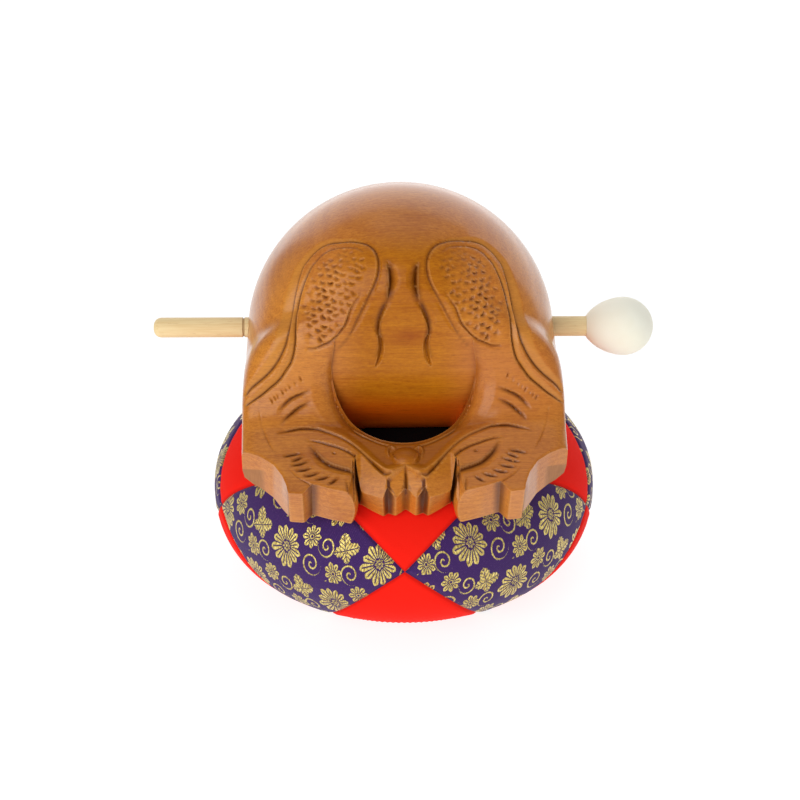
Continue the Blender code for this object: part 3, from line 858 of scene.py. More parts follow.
def outline_at(z):
    """The heads' outline at a height, with a point about every millimetre."""
    share = min(max((z + 12) / 23, 0), 1)
    low, high = (np.asarray(line, float) for line in (LOW_OUTLINE, TOP_OUTLINE))
    corners = low + (high - low) * share
    for index, move in BULGE.items():
        corners[index] += np.multiply(move, max(1 - ((z - BULGE_Z) / BULGE_REACH) ** 2, 0))
    mirrored = (corners * (-1, 1))[-2::-1]
    corners = np.concatenate([corners, mirrored])
    spacing = np.concatenate([high, (high * (-1, 1))[-2::-1]])
    dense = []
    for a, b, p, q in zip(corners, corners[1:], spacing, spacing[1:]):
        steps = max(int(np.linalg.norm(q - p)), 2)
        dense.append(a + (b - a) * np.linspace(0, 1, steps, endpoint=False)[:, None])
    line = np.concatenate(dense + [corners[-1:]])
    line[1:-1] = 0.2 * line[:-2] + 0.6 * line[1:-1] + 0.2 * line[2:]
    return np.concatenate([line, BEHIND])


heads = stacked("heads_outline", [(outline_at(z), float(z)) for z in LEVELS])
print("the heads' outline has", len(LEVELS), "levels")

# %% [markdown]
# ## The finger hole, and the belly it spares
# The hole's cutter is a tapered plug, stacked up in the same way. The belly must be left standing,
# so a second solid is taken out of the plug first: a grid bent to the belly's profile, closed
# behind. Its columns are closer together where the two strokes from between the ears run on down
# it, and there the belly is pressed in along each stroke's tail.

# %% The finger hole, and the belly it spares
PLUG_SIDES = 256
PLUG_HEIGHTS = (-40.0, 0, 7, 13, 17, 20, 23, 26, 30, 34, 56.0)
KEEPER_HALF, KEEPER_BACK = 47.0, 40
LOWEST_TURN = -66            # degrees down round the belly
BELLY_STEPS, ACROSS_STEPS = 128, 122
FINE_COLUMNS = (0, 22, 49, 73, 100, 122), (-KEEPER_HALF, -15.0, -8.0, 8.0, 15.0, KEEPER_HALF)
TAIL = ((-11.1, 39.2), (-10.2, 37), (-9.9, 34), (-10.3, 30.5), (-11.2, 27.5), (-12.4, 25.2))
TAIL_WIDTH = 1.5
TAIL_PRESS = (0, 1.0, -0.6)


def tail_share(points):
    """How near each point of the belly is to the tail of a stroke, which runs down it."""
    line = curve(TAIL, 0.3)
    in_front = (points[:, 1] < -28) & (points[:, 1] > -38) & (points[:, 2] > 20)
    near = in_front & (np.abs(points[:, 0]) < 16)
    share = np.zeros(len(points))
    gap = np.hypot(-np.abs(points[near, 0, None]) - line[:, 0], points[near, 2, None] - line[:, 1])
    width = TAIL_WIDTH * np.sin(np.linspace(0.35, math.pi - 0.25, len(line)))
    share[near] = np.clip(1 - (gap / width).min(axis=1), 0, 1)
    return share


turn = np.linspace(0, 2 * math.pi, PLUG_SIDES + 1)[:-1]
rings = []
for z in PLUG_HEIGHTS:
    rings.append((np.column_stack([hole_radius(z) * np.cos(turn),
                                   HOLE_Y + hole_radius(z) * np.sin(turn)]), z))
plug = stacked("finger_hole_plug", rings)

highest_turn = math.degrees(math.acos((BELLY_Y - BELLY_JOIN) / BELLY_DEPTH))
turns = np.radians(np.linspace(LOWEST_TURN, highest_turn, 200))
lower = np.column_stack([BELLY_Y - BELLY_DEPTH * np.cos(turns), BELLY_HEIGHT * np.sin(turns)])
rise = np.linspace(BELLY_JOIN, STRIP_JOIN + 5, 120)[1:]
upper = np.column_stack([rise, belly_height(rise)])
profile = evenly(np.concatenate([lower, upper]), BELLY_STEPS)
profile = np.concatenate([profile, [(KEEPER_BACK, profile[-1, 1]), (KEEPER_BACK, profile[0, 1]),
                                    profile[0]]])
put_down()
profile_steps = len(profile) - 1
bpy.ops.mesh.primitive_grid_add(x_subdivisions=ACROSS_STEPS, y_subdivisions=profile_steps, size=1)
keeper = named("belly_keeper")
column, row = grid_places(keeper, ACROSS_STEPS, profile_steps)
belly = np.column_stack([np.interp(column, *FINE_COLUMNS), profile[row]])
move_points(keeper, belly + tail_share(belly)[:, None] * TAIL_PRESS)
close_up(keeper)
apply_modifier(plug, "BOOLEAN", operation="DIFFERENCE", solver="EXACT", object=keeper)
print("the plug has", len(plug.data.polygons), "faces")

# %% [markdown]
# ## Hollow and saw cut
# A real drum is hollowed with long chisels through its saw cut, which is why the cut ends in two
# round holes: they stop the wood from splitting. The core of the hollow is a sphere whose four
# quarters are stretched to different lengths. The saw cut is a thin block, and the holes are one
# long rod.

# %% Hollow and saw cut
WALL = 9.0
CAVITY_FRONT = 36.0
SLIT_WIDTH, SLIT_REACH, SLIT_DEPTH = 5.0, 180.0, 90.0
SLIT_HOLE_RADIUS = 8.5
SLIT_HOLE_Y = 6.8

put_down()
bpy.ops.mesh.primitive_uv_sphere_add(segments=48, ring_count=24, radius=1)
hollow = named("hollow")
ball = read_points(hollow) * MM
move_points(hollow, np.column_stack([
    ball[:, 0] * (DRUM_HALF_WIDTH - WALL),
    CROWN_Y + ball[:, 1] * np.where(ball[:, 1] < 0, CAVITY_FRONT, DRUM_REAR - WALL - CROWN_Y),
    ball[:, 2] * np.where(ball[:, 2] > 0, DRUM_TOP - WALL, DRUM_BOTTOM - WALL)]))

put_down()
bpy.ops.mesh.primitive_cube_add(size=1, location=(0, (SLIT_HOLE_Y + SLIT_DEPTH / 2) * MM, 0),
                                scale=(SLIT_REACH * MM, SLIT_DEPTH * MM, SLIT_WIDTH * MM))
bpy.ops.object.transform_apply()
saw_cut = named("saw_cut")
put_down()
bpy.ops.mesh.primitive_cylinder_add(vertices=72, radius=SLIT_HOLE_RADIUS * MM,
                                    depth=SLIT_REACH * MM,
                                    location=(0, SLIT_HOLE_Y * MM, 0), rotation=(0, math.pi / 2, 0))
bpy.ops.object.transform_apply()
end_holes = named("end_holes")
print("five cutters are ready")

# %% [markdown]
# ## Cut and blend
# The outline is kept with one Boolean and everything else is taken away with a second, which
# holds all the other cutters at once. Where the strip between the ears runs on into the belly
# there is no edge on the real drum, so the points near that seam are lowered to a smooth
# minimum of the two forms. A Bevel there would round the seam by one width all along, and it
# has to fade out at both ends.

# %% Cut and blend
SEAM_HALF, SEAM_FRONT, SEAM_BACK, SEAM_NEAR = 27, -42, -6, 2.6
SEAM_BLEND = 10

apply_modifier(drum, "BOOLEAN", operation="INTERSECT", solver="MANIFOLD", object=heads)
removed = bpy.data.collections.new("removed")
for cutter in (plug, hollow, saw_cut, end_holes):
    removed.objects.link(cutter)
apply_modifier(drum, "BOOLEAN", operation="DIFFERENCE", solver="MANIFOLD",
               operand_type="COLLECTION", collection=removed)
for cutter in (heads, plug, keeper, hollow, saw_cut, end_holes):
    bpy.data.objects.remove(cutter, do_unlink=True)
bpy.data.collections.remove(removed)


def smooth_least(a, b, blend):
    """The lesser of two heights, rounded where they meet."""
    share = np.clip(0.5 + 0.5 * (b - a) / blend, 0, 1)
    return b + (a - b) * share - blend * share * (1 - share)


points = read_points(drum)
x, y, z = points.T
own, belly = top_height(x, y), belly_height(y)
lower_form = np.minimum(own, belly)
in_seam = ((np.abs(x) < SEAM_HALF) & (y > SEAM_FRONT) & (y < SEAM_BACK)
           & (np.abs(z - lower_form) < SEAM_NEAR))
blend = (SEAM_BLEND * ease(SEAM_HALF, 10, np.abs(x)) * ease(SEAM_FRONT, -34, y)
         * ease(SEAM_BACK, -20, y) + 0.01)
points[:, 2] = np.where(in_seam, z + smooth_least(own, belly, blend) - lower_form, z)
move_points(drum, points)
print("the drum has", len(points), "points,", len(drum.data.polygons), "faces")

# %% [markdown]
# ## What the lacquer and the painted light show
# Lacquer gathers in cuts, which look darker and redder, and painted shade darkens them further.
# The lacquer is thin on arrises, which look pale, and a painted highlight lies along them. Neither
# follows from the wood itself, so both are stored on the points. An arris is an edge where the
# surface turns sharply outwards, which only the finished mesh can tell.

# %% Arrises
def arris_strength(piece, angle=32):
    """1 on points of a sharp outward edge, fading over one row of points."""
    mesh = piece.data
    count = len(mesh.polygons)
    normal, centre = np.empty(3 * count), np.empty(3 * count)
    mesh.polygons.foreach_get("normal", normal)
    mesh.polygons.foreach_get("center", centre)
    normal, centre = normal.reshape(-1, 3), centre.reshape(-1, 3)
    loop_edge = np.empty(len(mesh.loops), int)
    mesh.loops.foreach_get("edge_index", loop_edge)
    sizes = np.empty(count, int)
    mesh.polygons.foreach_get("loop_total", sizes)
    loop_face = np.repeat(np.arange(count), sizes)
    order = np.argsort(loop_edge, kind="stable")
    edges, start, sides = np.unique(loop_edge[order], return_index=True, return_counts=True)
    edges, start = edges[sides == 2], start[sides == 2]
    first, second = loop_face[order][start], loop_face[order][start + 1]
    ends = np.empty(2 * len(mesh.edges), int)
    mesh.edges.foreach_get("vertices", ends)
    ends = ends.reshape(-1, 2)[edges]
    turn = np.degrees(np.arccos(np.clip(np.sum(normal[first] * normal[second], axis=1), -1, 1)))
    outward = np.sum((centre[second] - centre[first]) * normal[first], axis=1) < 0
    sharp = (turn > angle) & outward
    strength = np.zeros(len(mesh.vertices))
    strength[ends[sharp].ravel()] = 1
    return strength


print("arrises can be found")

# %% [markdown]
# ## Cuts, slopes, pools and painted light
# Four numbers go onto every point of the drum, as a painter would mask it: the dark line in a cut,
# which is gathered lacquer and painted shade, with painted shade in the inner corners of the outline;
# a broad chiselled slope, fresher wood with a painted highlight where it faces the lamp; lacquer run
# together in the valley, with painted shade there and round the rim; and a pale edge, thin lacquer
# with a painted highlight.

# %% Cuts, slopes, pools and painted light
NOTCH_SHADES = ((-22.3, -75.7, 1, 10), (-20.8, -85.2, 1, 6), (-8.2, -88, 1, 3.8), (-7.8, -91.1, 1, 3.8),
           (0, -87.5, 0.7, 3), (0, -89, 0.7, 3), (-41.5, -90.2, 0.8, 4.4))   # x, y, strength, reach
SLOPED = ((EAR[:18], EAR_SLOPES[:7]), (BAND[:14], BAND_SLOPES[:6]))
SHORT_PATH, TICK_CLEAR = 3, 2.2           # a short path's own edges aren't pale ones

facing = read_normals(drum)
points = read_points(drum)
on_top = (facing[:, 2] > 0.05) & (points[:, 2] > -1) & (points[:, 1] < CARVED_BACK)
folded = left_hand(points[on_top])
# the dark line in each cut and nick: gathered lacquer and painted shade
stain_and_shade = 0.9 * cut_nicks(folded, nicks)
for path, depth, left, right, dark_width in LINES:
    stain_and_shade = np.maximum(stain_and_shade, cut_line(folded, path, depth, left, right, dark_width)[2])
facet = np.maximum(*[cut_line(folded, path, (1,), width, (0.5,))[0] for path, width in SLOPED])
recess_stain_and_shade, fresh_and_lit = np.zeros((2, len(points)))
recess_stain_and_shade[on_top] = np.clip(stain_and_shade, 0, 1)
recess_stain_and_shade = np.maximum(recess_stain_and_shade, 0.8 * tail_share(points))
# fresher wood on the broad chiselled slopes, with a painted highlight where they face the lamp
fresh_and_lit[on_top] = ease(0.02, 0.2, facet)
write_values(drum, "fresh_and_lit", fresh_and_lit)
wall = (np.abs(facing[:, 2]) < 0.75) & (points[:, 1] < OUTLINE_BACK)
# painted shade on the walls of the outline's inner corners
for x, y, strength, reach in NOTCH_SHADES:
    away = np.hypot(np.abs(points[:, 0]) + x, points[:, 1] - y)
    recess_stain_and_shade = np.maximum(recess_stain_and_shade, np.where(wall, strength * ease(reach, 1.0, away), 0))
write_values(drum, "recess_stain_and_shade", recess_stain_and_shade)
# a painted highlight, with thin lacquer, along the sharp outward edges
arris_highlight = arris_strength(drum)
for path in (line[0] for line in LINES if len(line[0]) <= SHORT_PATH):
    arris_highlight[on_top] *= 1 - cut_line(folded, path, (1,), (TICK_CLEAR,), (TICK_CLEAR,))[0]
arris_highlight[on_top] *= 1 - np.clip(2 * cut_nicks(folded, nicks), 0, 1)
x, y = folded[:, 0], folded[:, 1]
reach = np.hypot(x, y - HOLE_Y) - hole_radius(points[on_top, 2])
# pooled lacquer in the valley, with painted shade there and round the hole's rim by the crease
pool_and_shade = np.zeros(len(points))
rim_shade = ease(3.6, 0, np.abs(reach)) * ease(-30, -36, y)
pool_and_shade[on_top] = np.maximum(valley_share(x, y), 0.8 * rim_shade)
write_values(drum, "pool_and_shade", pool_and_shade)
write_values(drum, "arris_highlight", arris_highlight)
print("cuts reach", int((recess_stain_and_shade > 0.2).sum()), "points")

# %% [markdown]
# ## Tip the drum
# The drum leans forwards on its cushion. It is turned and moved as an object, and then its place
# is applied to the mesh, because every finished piece keeps its object at the origin. Shading
# stays flat across sharp edges and smooth over the rest.

# %% Tip the drum
TILT = math.radians(28.5)
DRUM_AT = Vector((-0.8, -8.0, 124.5)) * MM

drum.rotation_euler.x = TILT
drum.location = DRUM_AT
pick(drum)
bpy.ops.object.transform_apply()
bpy.ops.object.shade_smooth_by_angle(angle=math.radians(20))
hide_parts("drum")
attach(drum, "root")
print("the drum's crown is now", round(float(read_points(drum)[:, 2].max()), 1), "mm up")

# %% [markdown]
# ## Shader arithmetic
# A procedural material is a sum written out in nodes. Wrapping a socket in a small class lets
# the sum be written as a sum: every +, *, minimum or power adds the Math node it stands for.
# Colours and directions have nodes of their own, which one method makes. The nodes could be
# placed and linked one by one, as in the editor, but a sum on one line is easier to read back.

# %% Signals
class Signal:
    """The value on one socket of a material's node tree."""

    def __init__(self, paint, socket):
        self.paint, self.socket = paint, socket

    def math(self, kind, *others):
        return self.paint.node("ShaderNodeMath", {"operation": kind},
                               dict(enumerate((self,) + others)))

    def __add__(self, other):
        return self.math("ADD", other)

    def __sub__(self, other):
        return self.math("SUBTRACT", other)

    def __mul__(self, other):
        return self.math("MULTIPLY", other)

    def __truediv__(self, other):
        return self.math("DIVIDE", other)

    def __pow__(self, other):
        return self.math("POWER", other)

    def __radd__(self, other):
        return self.math("ADD", other)

    def __rmul__(self, other):
        return self.math("MULTIPLY", other)

    def __rsub__(self, other):
        return self.paint.node("ShaderNodeMath", {"operation": "SUBTRACT"}, {0: other, 1: self})

    def __rtruediv__(self, other):
        return self.paint.node("ShaderNodeMath", {"operation": "DIVIDE"}, {0: other, 1: self})

    def least(self, other):
        return self.math("MINIMUM", other)

    def most(self, other):
        return self.math("MAXIMUM", other)

    def size(self):
        return self.math("ABSOLUTE")

    def round_down(self):
        return self.math("FLOOR")

    def sine(self):
        return self.math("SINE")

    def turn_of(self, other):
        """The angle whose tangent is this over the other."""
        return self.math("ARCTAN2", other)

    def left_over(self):
        """The part after the decimal point."""
        return self.math("FRACT")

    def ramp(self, low, high):
        """A smooth rise from 0 at low to 1 at high, or a fall if low is the larger."""
        ends = {"From Min": low, "From Max": high, "To Min": 0.0, "To Max": 1.0}
        if low > high:
            ends = {"From Min": high, "From Max": low, "To Min": 1.0, "To Max": 0.0}
        return self.paint.node("ShaderNodeMapRange", {"interpolation_type": "SMOOTHSTEP"},
                               {"Value": self, **ends})


print("signals can be added and multiplied")

# %% Paint
class Paint:
    """A material under construction: Principled shader, and nodes by type."""

    def __init__(self, name, **constants):
        self.material = bpy.data.materials.new(name)
        self.material.use_nodes = True
        self.tree = self.material.node_tree
        self.shader = self.tree.nodes["Principled BSDF"]
        for key, value in constants.items():
            self.shader.inputs[key.replace("_", " ")].default_value = value

    def node(self, kind, settings=None, values=None, out=0):
        made = self.tree.nodes.new(kind)
        for key, value in (settings or {}).items():
            setattr(made, key, value)
        for key, value in (values or {}).items():
            if isinstance(value, Signal):
                self.tree.links.new(value.socket, made.inputs[key])
            else:
                made.inputs[key].default_value = value
        return Signal(self, made.outputs[out])

    def places(self, centre=(0, 0, 0), turn=(0, 0, 0)):
        """Object coordinates, centred and turned."""
        spot = self.node("ShaderNodeTexCoord", out="Object")
        return self.node("ShaderNodeMapping", {"vector_type": "TEXTURE"},
                         {"Vector": spot, "Location": centre, "Rotation": turn})

    def parts(self, vector):
        """The three numbers of a vector."""
        split = self.node("ShaderNodeSeparateXYZ", values={0: vector})
        return tuple(Signal(self, split.socket.node.outputs[i]) for i in range(3))

    def stretch(self, vector, scale):
        return self.node("ShaderNodeVectorMath", {"operation": "MULTIPLY"}, {0: vector, 1: scale})

    def noise(self, vector, scale, detail=2.0, rough=0.5):
        """A value from 0 to 1 that wanders over the surface."""
        return self.node("ShaderNodeTexNoise", values={"Vector": vector, "Scale": scale,
                                                       "Detail": detail, "Roughness": rough})

    def stored(self, name):
        """A number that was stored on the points."""
        return self.node("ShaderNodeAttribute", {"attribute_name": name}, out="Fac")

    def mix(self, share, a, b):
        """Colour a, and colour b by its share."""
        a, b = (value if isinstance(value, Signal) else (*value, 1.0) for value in (a, b))
        return self.node("ShaderNodeMix", {"data_type": "RGBA"}, {0: share, 6: a, 7: b}, out=2)

    def bump(self, height, distance, strength=1.0):
        return self.node("ShaderNodeBump", values={"Height": height, "Distance": distance,
                                                   "Strength": strength})

    def finish(self, **inputs):
        """Link what varies to the shader."""
        for key, value in inputs.items():
            self.tree.links.new(value.socket, self.shader.inputs[key.replace("_", " ")])


def light(red, green, blue):
    """A colour named by its screen values, as the light it stands for."""
    return tuple((c / 255 / 12.92) if c < 10.3 else ((c / 255 + 0.055) / 1.055) ** 2.4
                 for c in (red, green, blue))


print("the paint shop is open")

# %% [markdown]
# ## The grain of the wood
# The block is a fine pale timber under thin amber lacquer. Its fibres run across the drum, so
# the growth layers show as long faint ovals on the crown. A Wave texture could draw the layers
# and a Voronoi the pores. Here each is a sine or a noise of the place, stretched along the
# fibres, and the places are turned back with the drum, so that the grain follows the block and
# not the room. Noise at four scales gives clouds, fibres, flecks and pores.

# %% The grain of the wood
LAYER_STEP = 0.0046          # metres from one growth layer to the next
wood = Paint("lacquered_wood", Coat_Roughness=0.22, Coat_IOR=1.29, Specular_IOR_Level=0.15)
spot = wood.places(centre=tuple(DRUM_AT), turn=(TILT, 0, 0))
x, y, z = wood.parts(spot)
bend = wood.noise(wood.stretch(spot, (14, 30, 30)), 1.0, 1.5)
layers = ((z + y * 0.35 + bend * 0.016) * (2 * math.pi / LAYER_STEP)).sine() * 0.5 + 0.5
fleck = wood.noise(wood.stretch(spot, (420, 900, 900)), 1.0, 2.0, 0.7)
fibre = wood.noise(wood.stretch(spot, (55, 1500, 1500)), 1.0, 3.0, 0.6)
pores = wood.noise(wood.stretch(spot, (160, 3400, 3400)), 1.0, 1.0).ramp(0.62, 0.72)
cloud = wood.noise(wood.stretch(spot, (16, 26, 26)), 1.0, 2.0)
tone = (layers - 0.5) * 0.05 + (fibre - 0.5) * 0.4 + (cloud - 0.5) * 0.5 + (fleck - 0.5) * 0.35
honey = wood.mix(tone.ramp(-0.34, 0.34), light(164, 86, 22), light(224, 146, 50))
rosy = wood.noise(wood.stretch(spot, (9, 14, 14)), 1.0, 1.0).ramp(0.42, 0.68)
body = wood.mix(rosy * 0.4, honey, light(184, 98, 48))
print("the grain has", len(wood.tree.nodes), "nodes")

# %% [markdown]
# ## The wood's colours, place by place
# Hands and light have changed the lacquer. It is a deeper, duller amber down the middle, with
# one dark mineral streak across it, and a little redder on the heads. Low on the belly in the
# finger hole a saturated glowing orange is painted: painted bounce light and painted shade. Each
# region is a product of soft ramps along the drum's own axes. A painted mask would do it too, but it
# would need a picture or many more points.

# %% The wood's colours, place by place
middle = x.size().ramp(0.034, 0.014) * (y + z * 0.4).ramp(-0.088, -0.076) * y.ramp(0.016, -0.004)
amber = wood.mix(tone.ramp(-0.34, 0.34), light(154, 80, 0), light(202, 126, 0))
body = wood.mix(middle * 0.75, body, amber)
along_streak = (1.0 - (x - 0.003).size() / 0.016).most(0.0)
across_streak = (1.0 - (y + 0.0295).size() / 0.0032).most(0.0)
body = wood.mix(along_streak * across_streak * 0.65, body, light(140, 50, 8))
on_heads = (y * -1.0).ramp(0.05, 0.075) * cloud.ramp(0.35, 0.75)
body = wood.mix(on_heads * 0.25, body, light(160, 88, 50))
# painted bounce light and shade: a saturated orange low on the belly, in the finger hole
in_hole = (y + 0.039).size().ramp(0.008, 0.005) * x.size().ramp(0.036, 0.034)
low_belly_light_and_shade = z.ramp(0.014, -0.004) * in_hole
body = wood.mix(low_belly_light_and_shade * 0.6, body, light(230, 86, 0))
body = wood.mix(pores * 0.35, body, light(110, 48, 8))
print("with its colours it has", len(wood.tree.nodes), "nodes")

# %% [markdown]
# ## Lacquer and painted light in the carving
# Lacquer is redder and darker where it gathers in a cut, and painted shade darkens the cuts and
# the outline's inner corners further. A chiselled slope is fresher and yellower, with a painted
# highlight where it faces the lamp. The valley and the hole's rim get painted shade over their
# pooled lacquer, and the arrises are thin in lacquer and carry a painted highlight. The four
# stored numbers say where. A glossy coat with a soft sheen lies over it all, thinner down the
# middle, and the wood was left rough and dull beside the gills, where saw marks still show.

# %% Lacquer and painted light in the carving
# painted shade over pooled lacquer, in the valley and round the rim
body = wood.mix(wood.stored("pool_and_shade") * 0.5, body, light(126, 54, 0))
# chiselled slopes: fresher wood and a painted highlight
body = wood.mix(wood.stored("fresh_and_lit") * 0.35, body, light(210, 146, 60))
# gathered lacquer and painted shade in the cuts and the inner corners
body = wood.mix((wood.stored("recess_stain_and_shade") ** 1.1) * 0.92, body, light(78, 30, 2))
# painted highlight on the arrises, where the lacquer is also thin
body = wood.mix(wood.stored("arris_highlight") * 0.22, body, light(222, 160, 90))
across = (x.size() - 0.0665) / 0.006
rough_face = (y.ramp(-0.0685, -0.0705) * (z + 0.004 + across * 0.0035).ramp(0.0045, 0.0035)
              * x.size().ramp(0.0615, 0.0645))
saw_marks = wood.noise(wood.stretch(spot, (900, 200, 120)), 1.0, 2.0)
sawn = wood.mix(saw_marks, light(128, 78, 36), light(176, 118, 66))
body = wood.mix(rough_face * 0.8, body, sawn)
shine = 0.34 + (fibre - 0.5) * 0.12 + rough_face * 0.35 + (cloud - 0.5) * 0.1
skin = wood.bump(fibre + layers * 0.15 + fleck * 0.6 + cloud * 3.0, 0.00006, 0.6)
wood.finish(Base_Color=body, Roughness=shine, Normal=skin, Coat_Weight=1.0 - middle * 0.8)
drum.data.materials.clear()
drum.data.materials.append(wood.material)
print("the wood has", len(wood.tree.nodes), "nodes")

# %% [markdown]
# ## The cushion's cloths
# The cushion is patchwork: plain red cotton above and below, and a belt of purple brocade.
# Brocade is a twill ground with a second weft of gilt thread that comes up only in the figures:
# chrysanthemums, small blossoms, vine leaves and tendrils, repeated in a staggered lattice.
# Each panel is cut at its own place from the bolt, so the figures differ from panel to panel.
# The cotton's weave is two crossed sines on the panel's own cloth coordinates, so that threads
# follow the cloth. Only the dark round patch in the seat, a painted shadow that shows as black at
# the foot of the finger hole, has its place on the object.

# %% Red cotton
THREAD_STEP = 0.62                         # mm, of cloth whose coordinates are in tenths of a metre
red = Paint("red_cotton", Specular_IOR_Level=0.12)
flat = red.node("ShaderNodeUVMap", {"uv_map": "cloth"})
u, v, _ = red.parts(flat)
# the dark round patch in the seat is a painted shadow, black where the finger hole looks down into
# shade
SHADOW_PATCH_Y, SHADOW_PATCH_RADIUS = -0.022, 0.034      # a dark round patch in the seat, under the drum
ground = red.places()
seat_x, seat_y, seat_z = red.parts(ground)
from_shadow_patch = (seat_x * seat_x + (seat_y - SHADOW_PATCH_Y) * (seat_y - SHADOW_PATCH_Y)) ** 0.5
painted_seat_shadow = from_shadow_patch.ramp(SHADOW_PATCH_RADIUS, SHADOW_PATCH_RADIUS - 0.0006) * seat_z.ramp(0.05, 0.052)
per_thread = 100 * 2 * math.pi / THREAD_STEP
thread = (u * per_thread).sine() * 0.5 + (v * per_thread).sine() * 0.5
slub = red.noise(red.stretch(flat, (60, 900, 1)), 1.0, 2.0)
fade = red.noise(ground, 26.0, 2.0)
cloth = red.mix(slub * 0.35 + fade * 0.5, light(244, 14, 6), light(255, 40, 18))
seam = red.stored("seam_gap")
cloth = red.mix(seam.ramp(1.6, 0.0) * 0.4, cloth, light(150, 4, 6))
# painted shadow: the seat under the drum is painted nearly black
cloth = red.mix(painted_seat_shadow, cloth, light(6, 2, 3))
red.finish(Base_Color=cloth, Roughness=0.74 + slub * 0.14,
           Normal=red.bump(thread * 0.6 + slub, 0.00006, 0.5))
print("red cotton:", len(red.tree.nodes), "nodes")

# %% [markdown]
# ## Brocade
# Every figure is drawn as a distance: how far a point lies inside the nearest gilt shape, in
# millimetres. Petals come from equal shares of the angle round a flower, leaves from pointed
# lobes with their veins left out, tendrils from spirals. The greatest distance wins, which joins
# the figures. A picture of the pattern would be quicker, but it would blur when looked at from
# close by.

# %% The pattern's repeat
gilt = Paint("purple_brocade", Specular_IOR_Level=0.25, Sheen_Weight=0.1)
flat = gilt.node("ShaderNodeUVMap", {"uv_map": "cloth"})
u, v, _ = gilt.parts(flat)
across, up = u * 100.0, v * 100.0
REPEAT_X, REPEAT_Y, STAGGER = 46.0, 20.0, 23.0
REPEAT_FROM = 9.0                          # the repeat starts this far left of the great flower
THREAD_HALF = 0.36                         # half the width of a tendril
band = (up / REPEAT_Y + 0.5).round_down()
local_y = up - band * REPEAT_Y
shifted = across - band * STAGGER + REPEAT_FROM
local_x = (shifted / REPEAT_X).left_over() * REPEAT_X - REPEAT_FROM


def around(cx, cy):
    """Places, distance and angle about a figure's middle."""
    dx, dy = local_x - cx, local_y - cy
    return dx, dy, (dx * dx + dy * dy) ** 0.5, dy.turn_of(dx)


def petals(distance, angle, count, start, end, tip, slit, turn=0.0):
    """How far inside a ring of broad petals with round ends, each slit down its middle."""
    share = ((angle * (count / (2 * math.pi)) + turn).left_over() - 0.5).size()
    aside = share * distance * (2 * math.pi / count)
    past = ((distance - (end - tip)) / tip).most(0.0)
    width = distance * (math.pi / count * 0.84) * (1.0 - past * past)
    inside = (width - aside).least(distance - start)
    return inside.least((aside - slit).most(distance - (end - 0.6 * tip)))


def leaf(dx, dy, direction, length, width):
    """How far inside a pointed, toothed and veined leaf lobe."""
    c, s = math.cos(direction), math.sin(direction)
    along, aside = dx * c + dy * s, (dy * c - dx * s).size()
    drawn = (along - 0.5 * length) / (0.5 * length)
    body = (1.0 - drawn * drawn) * width - aside + (along * 4.6 + aside).sine() * 0.22
    ribs = ((along - aside * 0.9) / 1.7).left_over() * 1.7 - 0.3
    return body.least(aside - 0.13).least(ribs)


def curl(cx, cy, radius, pitch, turn, hand=1.0):
    """How far inside a thread that curls inwards."""
    _, _, distance, angle = around(cx, cy)
    coil = (distance / pitch - (angle * hand + turn) / (2 * math.pi)).left_over()
    return (THREAD_HALF - (coil - 0.5).size() * pitch).least((radius - distance) * 0.5)


def bow(cx, cy, radius, direction, spread):
    """How far inside an arc of thread."""
    dx, dy, distance, _ = around(cx, cy)
    facing = dx * math.cos(direction) + dy * math.sin(direction)
    return (THREAD_HALF - (distance - radius).size()).least(facing - radius * math.cos(spread))


print("the pattern repeats every", REPEAT_X, "by", REPEAT_Y, "mm")

# %% Flowers, leaves and tendrils
BLOSSOMS = ((12.6, 6.0, 0.4), (24.4, -6.2, 0.1))                  # place, and how it is turned
LOBES = ((1.9, 6.8, 2.5), (0.3, 6.8, 2.3), (-1.3, 5.0, 1.9), (3.4, 5.8, 2.0))
CURLS = ((13.4, -4.0, 4.8, 2.9, 2.3, 1.0), (20.6, 3.8, 4.2, 2.7, 4.4, -1.0),
         (32.4, -5.4, 4.4, 2.8, 2.8, 1.0))   # place, radius, pitch, how it is turned, hand
BOWS = ((16.6, -8.4, 4.0, -1.2, 0.9), (36.0, -1.0, 3.4, -0.4, 0.8))
_, _, distance, angle = around(0.0, 0.0)
distance = distance * (1.0 + (angle + 0.8).sine() * 0.13 + (angle * 5.0).sine() * 0.06)
figure = petals(distance, angle, 12, 2.4, 8.0, 1.9, 0.2)
figure = figure.most(petals(distance, angle, 8, 0.9, 2.0, 0.7, 0.05, 0.3)).most(0.55 - distance)
for cx, cy, turn in BLOSSOMS:
    _, _, distance, angle = around(cx, cy)
    distance = distance * (1.0 + (angle * 2.0 + turn * 9).sine() * 0.07)
    figure = figure.most(petals(distance, angle, 8, 1.3, 4.5, 1.4, 0.15, turn))
    figure = figure.most(0.24 - (distance - 0.8).size())
dx, dy, _, _ = around(29.8, 3.4)
for lobe in LOBES:
    figure = figure.most(leaf(dx, dy, *lobe))
for spiral in CURLS:
    figure = figure.most(curl(*spiral))
for arc in BOWS:
    figure = figure.most(bow(*arc))
print("the figures take", len(gilt.tree.nodes), "nodes")

# %% [markdown]
# ## Gilt weft on purple twill
# One ramp turns the distance into gilt or ground, and a little noise in the distance gives the
# stepped edge that a woven figure has. The gilt is part metal and smoother than the twill under
# it, stands a little proud of it, and glitters by a fine noise in its colour and its bump.

